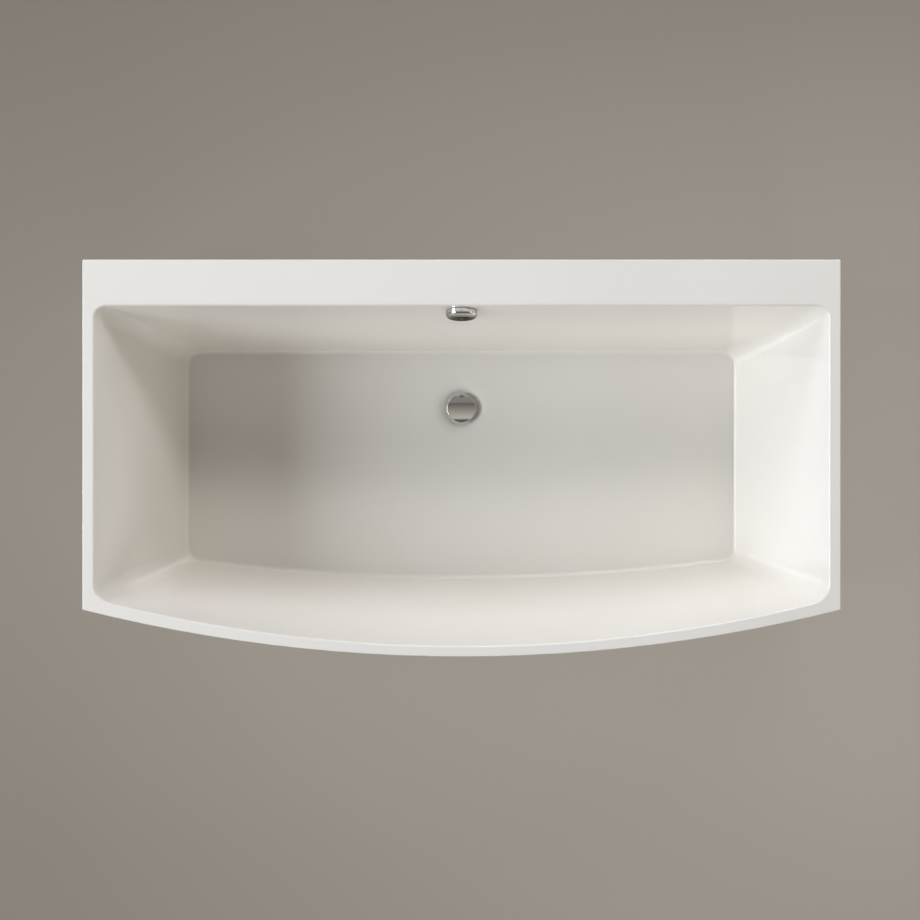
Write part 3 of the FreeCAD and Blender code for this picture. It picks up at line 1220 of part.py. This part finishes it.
def outlet_nut():
    mouth = (TRAP_SOCKET_RADIUS + SOCKET_FIT, -1, PIPE_NUT_STEP)
    lip = (OUTLET_RADIUS - OUTLET_SHOULDER + SOCKET_FIT, -1, PIPE_NUT_LENGTH + 1)
    nut = ribbed_nut(TRAP_SOCKET_RADIUS + PIPE_NUT_WALL, [mouth, lip], PIPE_NUT_LENGTH, 12)
    return along(nut, Vector(0, TRAP_SOCKET_END - PIPE_NUT_STEP + 0.5, OUTLET_Z), Vector(0, 1, 0))


def upwards(seats, length):
    return [(seat, Vector(0, 0, 1), length) for seat in seats]


def all_stay_screws():
    seats = []
    for side in SIDES.values():
        seats += end_stay_screws(side) + front_stay_screws(side)
    return seats


nodes = {
    "bath_shell": bath_shell(),
    "glass_fibre_backing": glass_fibre_backing(),
    "base_board": base_board(),
    "back_batten": back_batten(),
    "bracket_screws": screws(WOOD_SCREW, upwards(bracket_screw_seats(), BRACKET_SCREW_LENGTH)),
    "front_skirt": front_skirt(),
    "skirt_retainers": skirt_retainers(),
    "corner_screws": screws(SHEET_SCREW, corner_screws_at(-1) + corner_screws_at(1)),
    "cradle_screws": screws(WOOD_SCREW, upwards(cradle_screw_seats(), CRADLE_SCREW_LENGTH)),
    "leg_lock_nuts": leg_lock_nuts(),
    "front_stays": front_stays(),
    "stay_screws": screws(STAY_SCREW, all_stay_screws()),
    "overflow_flange": overflow_flange(),
    "overflow_knob": overflow_knob(),
    "knob_spindle": knob_spindle(),
    "overflow_screws": overflow_screws(),
    "overflow_seal": overflow_seal(),
    "overflow_elbow": overflow_elbow(),
    "cable_cam": cable_cam(),
    "overflow_pipe": overflow_pipe(),
    "pipe_nut_upper": pipe_nut_upper(),
    "pipe_nut_lower": pipe_nut_lower(),
    "control_cable": control_cable(),
    "cable_gland_upper": cable_gland_upper(),
    "cable_gland_lower": cable_gland_lower(),
    "cable_clips": cable_clips(),
    "drain_flange": drain_flange(),
    "flange_gasket": flange_gasket(),
    "drain_body_seal": drain_body_seal(),
    "drain_body": drain_body(),
    "rocker_pin": rocker_pin(),
    "lift_rocker": lift_rocker(),
    "plug_cap": plug_cap(),
    "plug_stem": plug_stem(),
    "plug_seal": plug_seal(),
    "trap_cup": trap_cup(),
    "trap_union_nut": trap_union_nut(),
    "trap_seal": trap_seal(),
    "outlet_pipe": outlet_pipe(),
    "outlet_nut": outlet_nut(),
}
for name, side in SIDES.items():
    nodes["wall_bracket_" + name] = wall_bracket(side)
    nodes["skirt_" + name] = end_skirt(side)
    nodes["corner_angle_" + name] = corner_angle(side)
    nodes["cradle_" + name] = cradle(side)
    nodes["end_stays_" + name] = end_stays(side)
    for place, y in LEG_YS.items():
        nodes["leg_stud_" + place + "_" + name] = leg_stud(side, y)
        nodes["foot_pad_" + place + "_" + name] = foot_pad(side, y)

os.makedirs("parts", exist_ok=True)
for name, shape in nodes.items():
    shape.exportStep("parts/" + name + ".step")
    print(name, len(shape.Solids), shape.isValid(), round(shape.Volume))
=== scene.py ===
import json

import bpy
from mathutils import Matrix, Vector

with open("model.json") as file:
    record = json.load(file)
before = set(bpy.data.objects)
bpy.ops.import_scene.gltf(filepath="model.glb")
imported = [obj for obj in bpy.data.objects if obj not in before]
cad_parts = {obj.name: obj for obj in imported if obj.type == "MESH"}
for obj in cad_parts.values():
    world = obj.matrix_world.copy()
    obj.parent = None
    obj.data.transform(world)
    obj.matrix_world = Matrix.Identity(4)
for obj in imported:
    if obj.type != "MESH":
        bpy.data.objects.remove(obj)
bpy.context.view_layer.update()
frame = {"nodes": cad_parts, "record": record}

print("frame loaded,", len(frame["nodes"]), "nodes")


# sRGB hex code to the linear colour that a socket takes
def linear(code):
    values = [int(code[n:n + 2], 16) / 255 for n in (1, 3, 5)]
    curved = [v / 12.92 if v <= 0.04045 else ((v + 0.055) / 1.055) ** 2.4 for v in values]
    return (*curved, 1.0)


# One node with its settings and links, where stops are the colours along a ramp
def addNode(tree, kind, settings=None, links=None):
    node = tree.nodes.new("ShaderNode" + kind)
    settings = dict(settings or {})
    stops = settings.pop("stops", [])
    while stops and len(node.color_ramp.elements) < len(stops):
        node.color_ramp.elements.new(1.0)
    for number, (place, code) in enumerate(stops):
        node.color_ramp.elements[number].position = place
        node.color_ramp.elements[number].color = linear(code)
    for name, value in settings.items():
        if isinstance(name, int) or name in node.inputs:
            node.inputs[name].default_value = value
        else:
            setattr(node, name, value)
    for name, source in (links or {}).items():
        tree.links.new(source, node.inputs[name])
    return node.outputs


# An empty material, its node tree, and the place on the piece that its patterns read
def newMaterial(name):
    material = bpy.data.materials.new(name)
    material.use_nodes = True
    material.node_tree.nodes.clear()
    return material, material.node_tree, addNode(material.node_tree, "TexCoord")["Object"]


# Camera rays together with those seen in gloss and through glass, and the camera rays alone
def directRays(tree):
    rays = addNode(tree, "LightPath")
    direct = rays["Is Camera Ray"]
    for kind in ("Is Glossy Ray", "Is Transmission Ray"):
        direct = addNode(tree, "Math", {"operation": "MAXIMUM"}, {0: direct, 1: rays[kind]})["Value"]
    return direct, rays["Is Camera Ray"]


# Sanitary acrylic, a cast sheet drawn into its mould and polished: white and barely uneven, with a hard
# clear gloss over the slow ripple that the drawing leaves
acrylic = {"cloudMm": 420, "cloudDetail": 3.0, "clouds": [(0.3, "#f1ece4"), (0.7, "#eee9e0")],
           "wearMm": 140, "wearDetail": 4.0, "smooth": 0.08, "worn": 0.15,
           "rippleMm": 95, "rippleDetail": 1.0, "rippleDeepMm": 0.4, "rippleShown": 0.05,
           "index": 1.49, "coat": 0.3, "coatRough": 0.03}


def sanitaryAcrylic():
    material, tree, place = newMaterial("polished sanitary acrylic")
    cloud = addNode(tree, "TexNoise", {"Scale": 1000 / acrylic["cloudMm"], "Detail": acrylic["cloudDetail"]},
                    {"Vector": place})
    tint = addNode(tree, "ValToRGB", {"stops": acrylic["clouds"]}, {"Fac": cloud["Fac"]})
    wear = addNode(tree, "TexNoise", {"Scale": 1000 / acrylic["wearMm"], "Detail": acrylic["wearDetail"]},
                   {"Vector": place})
    gloss = addNode(tree, "MapRange", {"To Min": acrylic["smooth"], "To Max": acrylic["worn"]},
                    {"Value": wear["Fac"]})
    ripple = addNode(tree, "TexNoise", {"Scale": 1000 / acrylic["rippleMm"],
                                        "Detail": acrylic["rippleDetail"]}, {"Vector": place})
    wave = addNode(tree, "Bump", {"Distance": acrylic["rippleDeepMm"] / 1000,
                                  "Strength": acrylic["rippleShown"]}, {"Height": ripple["Fac"]})
    shader = addNode(tree, "BsdfPrincipled", {
        "IOR": acrylic["index"], "Coat Weight": acrylic["coat"], "Coat Roughness": acrylic["coatRough"]}, {
        "Base Color": tint["Color"], "Roughness": gloss["Result"], "Normal": wave["Normal"]})
    addNode(tree, "OutputMaterial", links={"Surface": shader["BSDF"]})
    return material


# Glass fibre, chopped strands sprayed with resin and rolled: a creamy skin with pale crossing strands that
# stand proud, glossy where resin has pooled
glass = {"turns": (0.2, 0.95, 1.7, 2.45), "tipX": 0.7, "tipY": 1.3, "strandMm": 2.6, "strandLong": 0.07,
         "strandDetail": 2.0, "strandDeepMm": 0.7, "strandShown": 0.6,
         "strands": [(0.5, "#cbc3a9"), (0.62, "#d9d2bd"), (0.78, "#f0ece1")],
         "poolMm": 55, "poolDetail": 3.0, "poolDeepMm": 2.5, "poolShown": 0.35,
         "pools": [(0.3, "#e2dccc"), (0.7, "#ffffff")], "wet": 0.28, "dry": 0.6, "index": 1.55}


def glassFibre():
    material, tree, place = newMaterial("sprayed glass fibre")
    strands = None
    for turn in glass["turns"]:
        turned = addNode(tree, "Mapping", {"Rotation": (turn * glass["tipX"], turn * glass["tipY"], turn)},
                         {"Vector": place})
        drawn = addNode(tree, "Mapping", {"Scale": (glass["strandLong"], 1, 1)}, {"Vector": turned["Vector"]})
        strand = addNode(tree, "TexNoise", {
            "Scale": 1000 / glass["strandMm"], "Detail": glass["strandDetail"]},
            {"Vector": drawn["Vector"]})["Fac"]
        strands = strand if strands is None else addNode(
            tree, "Math", {"operation": "MAXIMUM"}, {0: strands, 1: strand})["Value"]
    bundle = addNode(tree, "ValToRGB", {"stops": glass["strands"]}, {"Fac": strands})
    pool = addNode(tree, "TexNoise", {"Scale": 1000 / glass["poolMm"], "Detail": glass["poolDetail"]},
                   {"Vector": place})
    depth = addNode(tree, "ValToRGB", {"stops": glass["pools"]}, {"Fac": pool["Fac"]})
    tint = addNode(tree, "MixRGB", {"blend_type": "MULTIPLY", "Fac": 1.0},
                   {"Color1": bundle["Color"], "Color2": depth["Color"]})
    gloss = addNode(tree, "MapRange", {"To Min": glass["wet"], "To Max": glass["dry"]},
                    {"Value": pool["Fac"]})
    weave = addNode(tree, "Bump", {"Distance": glass["strandDeepMm"] / 1000,
                                   "Strength": glass["strandShown"]}, {"Height": strands})
    lumps = addNode(tree, "Bump", {"Distance": glass["poolDeepMm"] / 1000, "Strength": glass["poolShown"]},
                    {"Height": pool["Fac"], "Normal": weave["Normal"]})
    shader = addNode(tree, "BsdfPrincipled", {"IOR": glass["index"]}, {
        "Base Color": tint["Color"], "Roughness": gloss["Result"], "Normal": lumps["Normal"]})
    addNode(tree, "OutputMaterial", links={"Surface": shader["BSDF"]})
    return material


# Chipboard, pressed and sawn: light and dark flakes of wood with a dry open face
board = {"flakeMm": 3, "flakeLong": 0.5, "flakeDeepMm": 0.4, "flakeShown": 0.5, "close": 0.7, "open": 0.92,
         "flakes": [(0.0, "#7d5f3a"), (0.35, "#a98658"), (0.7, "#c6a573"), (1.0, "#dcc595")], "index": 1.45}


def chipboard():
    material, tree, place = newMaterial("raw chipboard")
    drawn = addNode(tree, "Mapping", {"Scale": (board["flakeLong"], 1, 1)}, {"Vector": place})
    flakes = addNode(tree, "TexVoronoi", {"Scale": 1000 / board["flakeMm"]}, {"Vector": drawn["Vector"]})
    chance = addNode(tree, "SeparateColor", links={"Color": flakes["Color"]})["Red"]
    tint = addNode(tree, "ValToRGB", {"stops": board["flakes"]}, {"Fac": chance})
    dry = addNode(tree, "MapRange", {"To Min": board["close"], "To Max": board["open"]}, {"Value": chance})
    chips = addNode(tree, "Bump", {"Distance": board["flakeDeepMm"] / 1000, "Strength": board["flakeShown"]},
                    {"Height": flakes["Distance"]})
    shader = addNode(tree, "BsdfPrincipled", {"IOR": board["index"]}, {
        "Base Color": tint["Color"], "Roughness": dry["Result"], "Normal": chips["Normal"]})
    addNode(tree, "OutputMaterial", links={"Surface": shader["BSDF"]})
    return material


# Softwood, planed: pale wood with darker rings and fine pores drawn out along the length
wood = {"grainLong": 0.02, "ringMm": 14, "ringDetail": 2.0,
        "rings": [(0.35, "#d9b888"), (0.5, "#c79f69"), (0.56, "#b2864f"), (0.7, "#dcbd8f")],
        "poreMm": 1.2, "poreDetail": 2.0, "poreDeepMm": 0.15, "poreShown": 0.4, "planed": 0.5, "torn": 0.75,
        "index": 1.45}


def softwood():
    material, tree, place = newMaterial("planed softwood")
    drawn = addNode(tree, "Mapping", {"Scale": (wood["grainLong"], 1, 1)}, {"Vector": place})["Vector"]
    rings = addNode(tree, "TexNoise", {"Scale": 1000 / wood["ringMm"], "Detail": wood["ringDetail"]},
                    {"Vector": drawn})
    tint = addNode(tree, "ValToRGB", {"stops": wood["rings"]}, {"Fac": rings["Fac"]})
    pores = addNode(tree, "TexNoise", {"Scale": 1000 / wood["poreMm"], "Detail": wood["poreDetail"]},
                    {"Vector": drawn})
    dry = addNode(tree, "MapRange", {"To Min": wood["planed"], "To Max": wood["torn"]},
                  {"Value": pores["Fac"]})
    grain = addNode(tree, "Bump", {"Distance": wood["poreDeepMm"] / 1000, "Strength": wood["poreShown"]},
                    {"Height": pores["Fac"]})
    shader = addNode(tree, "BsdfPrincipled", {"IOR": wood["index"]}, {
        "Base Color": tint["Color"], "Roughness": dry["Result"], "Normal": grain["Normal"]})
    addNode(tree, "OutputMaterial", links={"Surface": shader["BSDF"]})
    return material


# Galvanised sheet, dipped in zinc: flat grey crystals, each turned a little differently to the light
zincSheet = {"spangleMm": 7, "edgeMm": 4, "bright": 0.34, "dull": 0.5,
             "crystals": [(0.0, "#a9adb0"), (0.5, "#b6babd"), (1.0, "#c4c8ca")],
             "pitMm": 2.5, "pitDetail": 2.0, "pitDeepMm": 0.05, "pitShown": 0.3}


def galvanisedSteel():
    material, tree, place = newMaterial("galvanised steel sheet")
    pits = addNode(tree, "TexNoise", {"Scale": 1000 / zincSheet["pitMm"], "Detail": zincSheet["pitDetail"]},
                   {"Vector": place})
    shift = zincSheet["edgeMm"] / 1000
    ragged = addNode(tree, "VectorMath", {"operation": "MULTIPLY_ADD", 1: (shift, shift, shift)},
                     {0: pits["Color"], 2: place})
    spangle = addNode(tree, "TexVoronoi", {"Scale": 1000 / zincSheet["spangleMm"]},
                      {"Vector": ragged["Vector"]})
    chance = addNode(tree, "SeparateColor", links={"Color": spangle["Color"]})["Green"]
    tint = addNode(tree, "ValToRGB", {"stops": zincSheet["crystals"]}, {"Fac": chance})
    gloss = addNode(tree, "MapRange", {"To Min": zincSheet["bright"], "To Max": zincSheet["dull"]},
                    {"Value": chance})
    pitted = addNode(tree, "Bump", {"Distance": zincSheet["pitDeepMm"] / 1000,
                                    "Strength": zincSheet["pitShown"]}, {"Height": pits["Fac"]})
    shader = addNode(tree, "BsdfPrincipled", {"Metallic": 1.0}, {
        "Base Color": tint["Color"], "Roughness": gloss["Result"], "Normal": pitted["Normal"]})
    addNode(tree, "OutputMaterial", links={"Surface": shader["BSDF"]})
    return material


# Zinc plate, bright and clear passivated: silver with a faint yellow and blue cast
plate = {"castMm": 7, "castDetail": 3.0, "cast": [(0.35, "#c3c6cc"), (0.55, "#cfcfca"), (0.7, "#cdc7b4")],
         "hazeMm": 1.5, "hazeDetail": 3.0, "bright": 0.22, "dull": 0.38}


def zincPlate():
    material, tree, place = newMaterial("bright zinc plated steel")
    cast = addNode(tree, "TexNoise", {"Scale": 1000 / plate["castMm"], "Detail": plate["castDetail"]},
                   {"Vector": place})
    tint = addNode(tree, "ValToRGB", {"stops": plate["cast"]}, {"Fac": cast["Fac"]})
    haze = addNode(tree, "TexNoise", {"Scale": 1000 / plate["hazeMm"], "Detail": plate["hazeDetail"]},
                   {"Vector": place})
    gloss = addNode(tree, "MapRange", {"To Min": plate["bright"], "To Max": plate["dull"]},
                    {"Value": haze["Fac"]})
    shader = addNode(tree, "BsdfPrincipled", {"Metallic": 1.0}, {
        "Base Color": tint["Color"], "Roughness": gloss["Result"]})
    addNode(tree, "OutputMaterial", links={"Surface": shader["BSDF"]})
    return material


# Chrome plate, polished: nearly a mirror, with the faint haze that wiping leaves. Its colour carries painted
# shade:
# the faces that look to the front are darkened, most where they face it squarely, in place of a dark
# reflection there
chrome = {"wipeMm": 9, "wipeDetail": 3.0, "clear": 0.04, "wiped": 0.09, "front": -1.0, "aside": -0.8,
          "paintedFrontShade": [(0.0, "#625f5c"), (0.03, "#827e7a"), (0.1, "#aeaaa6"), (0.2, "#d2cfcc"), (1.0, "#cfcfd0")]}


def chromePlate():
    material, tree, place = newMaterial("polished chrome plate")
    turned = addNode(tree, "SeparateXYZ", links={"Vector": addNode(tree, "NewGeometry")["Normal"]})
    aside = addNode(tree, "MapRange", {"From Min": chrome["front"], "From Max": chrome["aside"]},
                    {"Value": turned["Y"]})
    # painted shade: the colour goes from pale to smoky grey as the face turns towards the front
    tint = addNode(tree, "ValToRGB", {"stops": chrome["paintedFrontShade"]}, {"Fac": aside["Result"]})
    wipe = addNode(tree, "TexNoise", {"Scale": 1000 / chrome["wipeMm"], "Detail": chrome["wipeDetail"]},
                   {"Vector": place})
    gloss = addNode(tree, "MapRange", {"To Min": chrome["clear"], "To Max": chrome["wiped"]},
                    {"Value": wipe["Fac"]})
    shader = addNode(tree, "BsdfPrincipled", {"Metallic": 1.0}, {
        "Base Color": tint["Color"], "Specular Tint": tint["Color"], "Roughness": gloss["Result"]})
    addNode(tree, "OutputMaterial", links={"Surface": shader["BSDF"]})
    return material


# Brass, turned and left bare: yellow metal dulled in patches, with fine tool marks
brass = {"patchMm": 6, "patchDetail": 3.0, "patches": [(0.3, "#b8934a"), (0.7, "#cfae68")],
         "rough": 0.38, "bright": 0.2, "markMm": 0.5, "markDetail": 1.0, "markDeepMm": 0.03, "markShown": 0.3}


def turnedBrass():
    material, tree, place = newMaterial("turned brass")
    patch = addNode(tree, "TexNoise", {"Scale": 1000 / brass["patchMm"], "Detail": brass["patchDetail"]},
                    {"Vector": place})
    tint = addNode(tree, "ValToRGB", {"stops": brass["patches"]}, {"Fac": patch["Fac"]})
    gloss = addNode(tree, "MapRange", {"To Min": brass["rough"], "To Max": brass["bright"]},
                    {"Value": patch["Fac"]})
    marks = addNode(tree, "TexNoise", {"Scale": 1000 / brass["markMm"], "Detail": brass["markDetail"]},
                    {"Vector": place})
    tooled = addNode(tree, "Bump", {"Distance": brass["markDeepMm"] / 1000, "Strength": brass["markShown"]},
                     {"Height": marks["Fac"]})
    shader = addNode(tree, "BsdfPrincipled", {"Metallic": 1.0}, {
        "Base Color": tint["Color"], "Roughness": gloss["Result"], "Normal": tooled["Normal"]})
    addNode(tree, "OutputMaterial", links={"Surface": shader["BSDF"]})
    return material


# Plastics and rubber, moulded or extruded: one body colour, clouded where the melt met, with a fine grain
# from the tool and a soft gloss
plastics = {
    "black_nylon": {"name": "black moulded nylon", "light": "#262627", "dark": "#1a1a1b", "gloss": 0.42},
    "white_polypropylene": {"name": "white moulded polypropylene", "light": "#e9e8e3", "dark": "#dddcd6",
                            "gloss": 0.36},
    "grey_polypropylene": {"name": "grey moulded polypropylene", "light": "#878a8d", "dark": "#797c7f",
                           "gloss": 0.4},
    "cable_sheath": {"name": "extruded cable sheath", "light": "#323336", "dark": "#27282b", "gloss": 0.45},
    "black_rubber": {"name": "black moulded rubber", "light": "#1e1e1e", "dark": "#141414", "gloss": 0.7},
}
melt = {"cloudMm": 35, "cloudDetail": 3.0, "cloudFrom": 0.3, "cloudTo": 0.7, "grainMm": 0.7,
        "grainDetail": 2.0, "grainDeepMm": 0.06, "grainShown": 0.35, "spread": 0.08, "index": 1.5}


def mouldedPlastic(kind):
    material, tree, place = newMaterial(kind["name"])
    cloud = addNode(tree, "TexNoise", {"Scale": 1000 / melt["cloudMm"], "Detail": melt["cloudDetail"]},
                    {"Vector": place})
    tint = addNode(tree, "ValToRGB", {"stops": [
        (melt["cloudFrom"], kind["dark"]), (melt["cloudTo"], kind["light"])]}, {"Fac": cloud["Fac"]})
    grain = addNode(tree, "TexNoise", {"Scale": 1000 / melt["grainMm"], "Detail": melt["grainDetail"]},
                    {"Vector": place})
    gloss = addNode(tree, "MapRange", {"To Min": kind["gloss"] - melt["spread"],
                                       "To Max": kind["gloss"] + melt["spread"]}, {"Value": grain["Fac"]})
    tooled = addNode(tree, "Bump", {"Distance": melt["grainDeepMm"] / 1000, "Strength": melt["grainShown"]},
                     {"Height": grain["Fac"]})
    shader = addNode(tree, "BsdfPrincipled", {"IOR": melt["index"]}, {
        "Base Color": tint["Color"], "Roughness": gloss["Result"], "Normal": tooled["Normal"]})
    addNode(tree, "OutputMaterial", links={"Surface": shader["BSDF"]})
    return material


finishes = {
    "sanitary_acrylic": sanitaryAcrylic(),
    "glass_fibre": glassFibre(),
    "chipboard": chipboard(),
    "softwood": softwood(),
    "galvanised_steel": galvanisedSteel(),
    "zinc_plated_steel": zincPlate(),
    "chrome_plate": chromePlate(),
    "brass": turnedBrass(),
}
for slot, kind in plastics.items():
    finishes[slot] = mouldedPlastic(kind)
for part in frame["record"]["subparts"]:
    mesh = frame["nodes"][part["node"]].data
    mesh.materials.clear()
    mesh.materials.append(finishes[part["material_slot"]])
print("materials on", len(frame["nodes"]), "nodes")

# Floor: matt, with the bath's real shadow in its diffuse share. Camera, gloss and glass rays see it mostly as
# a glow in a painted pool of light, brightest under the right half of the bath and even in tone further off
floor = {"size": 60.0, "shadow": 0.35, "middle": (0.9, -0.3), "reach": (8.0, 5.0), "paintedLightPool": [
    (0.0, "#aea69c"), (0.1, "#a8a096"), (0.18, "#a1998f"), (0.28, "#90887e"), (0.4, "#81796f"),
    (1.0, "#9e968a")]}
bpy.ops.object.select_all(action="DESELECT")
bpy.ops.mesh.primitive_plane_add(size=floor["size"])
ground = bpy.context.object
ground.name = "floor"
material, tree, place = newMaterial("floor with painted pool of light")
(middleX, middleY), (reachX, reachY) = floor["middle"], floor["reach"]
spread = addNode(tree, "Mapping", {"Location": (-middleX / reachX, -middleY / reachY, 0),
                                   "Scale": (1 / reachX, 1 / reachY, 0)}, {"Vector": place})
away = addNode(tree, "VectorMath", {"operation": "LENGTH"}, {0: spread["Vector"]})
# painted pool of light: the tone is brightest at the middle and changes with distance from it
tone = addNode(tree, "ValToRGB", {"stops": floor["paintedLightPool"]}, {"Fac": away["Value"]})
matt = addNode(tree, "BsdfDiffuse", links={"Color": tone["Color"]})
# painted light: the floor glows in this tone for camera, gloss and glass rays
paintedGlow = addNode(tree, "Emission", {"Strength": 1.0}, {"Color": tone["Color"]})
shown = addNode(tree, "MixShader", {"Fac": floor["shadow"]}, {1: paintedGlow["Emission"], 2: matt["BSDF"]})
direct, _ = directRays(tree)
surface = addNode(tree, "MixShader", links={0: direct, 1: matt["BSDF"], 2: shown["Shader"]})
addNode(tree, "OutputMaterial", links={"Surface": surface["Shader"]})
ground.data.materials.append(material)

# Light: a large soft lamp low on the left, long strips behind, weak fill from the other sides
lamps = {
    "keyLamp": {"place": (-6.3, -0.6, 4.3), "size": (4.4, 3.0), "power": 432.0, "colour": "#eff6ff"},
    "backLamp": {"place": (1.4, 3.47, 3.9), "size": (3.2, 0.9), "power": 85.0, "colour": "#fbfcfd"},
    "lowBackLamp": {"place": (-1.2, 4.53, 2.41), "size": (6.0, 1.6), "power": 122.0, "colour": "#f3f5ff"},
    "frontLamp": {"place": (0.8, -5.0, 3.65), "size": (3.6, 3.0), "power": 124.0, "colour": "#fafbfd"},
    "rightLamp": {"place": (8.46, 0.0, 3.3), "size": (4.0, 1.8), "power": 38.0, "colour": "#fff1e0"},
    "cornerLamp": {"place": (6.0, 6.0, 4.2), "size": (3.0, 3.4), "power": 60.0, "colour": "#f8f8fb"},
}
aim = Vector((0.0, 0.0, 0.3))
for name, lamp in lamps.items():
    data = bpy.data.lights.new(name, "AREA")
    data.shape = "RECTANGLE"
    data.size, data.size_y = lamp["size"]
    data.energy = lamp["power"]
    data.color = linear(lamp["colour"])[:3]
    light = bpy.data.objects.new(name, data)
    light.location = lamp["place"]
    light.rotation_euler = (aim - light.location).to_track_quat("-Z", "Y").to_euler()
    light.visible_camera = False
    light.visible_glossy = name != "frontLamp"  # it would glint in the middle of the rosette
    bpy.context.scene.collection.objects.link(light)

# World: gloss and metal see a ceiling of long pale panels and dark gaps between pale walls, and none of it
# lights the bath. The camera sees a plain backdrop in the tone of the far floor
ceiling = {"lowest": 0.02, "reach": 4.0, "backdrop": "#837b71", "panels": [
    (0.0, "#b5aea4"), (0.3, "#8f8980"), (0.375, "#2b2926"), (0.4225, "#322f2c"), (0.435, "#68635c"),
    (0.4512, "#6e6860"), (0.4575, "#dcd5c8"), (0.5, "#a39c91"), (0.5163, "#87817a"), (0.5242, "#716b64"),
    (0.53, "#9c958e"), (0.5587, "#9c958e"), (0.5625, "#f4eee4"), (0.605, "#f0eae0"), (0.625, "#bcb5ab")]}
world = bpy.data.worlds.new("studio")
world.use_nodes = True
tree = world.node_tree
tree.nodes.clear()
axes = addNode(tree, "SeparateXYZ", links={"Vector": addNode(tree, "TexCoord")["Generated"]})
height = addNode(tree, "Math", {"operation": "MAXIMUM", 1: ceiling["lowest"]}, {0: axes["Z"]})
lean = addNode(tree, "Math", {"operation": "DIVIDE"}, {0: axes["Y"], 1: height["Value"]})
share = addNode(tree, "MapRange", {"From Min": -ceiling["reach"], "From Max": ceiling["reach"]},
                {"Value": lean["Value"]})
panels = addNode(tree, "ValToRGB", {"stops": ceiling["panels"]}, {"Fac": share["Result"]})
direct, toCamera = directRays(tree)
seen = addNode(tree, "MixRGB", {"Color2": linear(ceiling["backdrop"])},
               {"Fac": toCamera, "Color1": panels["Color"]})
shade = addNode(tree, "Background", links={"Color": seen["Color"], "Strength": direct})
addNode(tree, "OutputWorld", links={"Surface": shade["Background"]})
bpy.context.scene.world = world
bpy.context.scene.view_settings.view_transform = "Standard"

# Camera: straight above, with the back of the bath at the top of the picture
camera = {"place": (-0.0035, -0.0043, 5.6), "lens": 87.3, "sensor": 36.0, "farthest": 100.0}
data = bpy.data.cameras.new("camera")
data.sensor_width = camera["sensor"]
data.lens = camera["lens"]
data.clip_end = camera["farthest"]
eye = bpy.data.objects.new("camera", data)
eye.location = camera["place"]
bpy.context.scene.collection.objects.link(eye)
bpy.context.scene.camera = eye
print("floor, light and camera set")
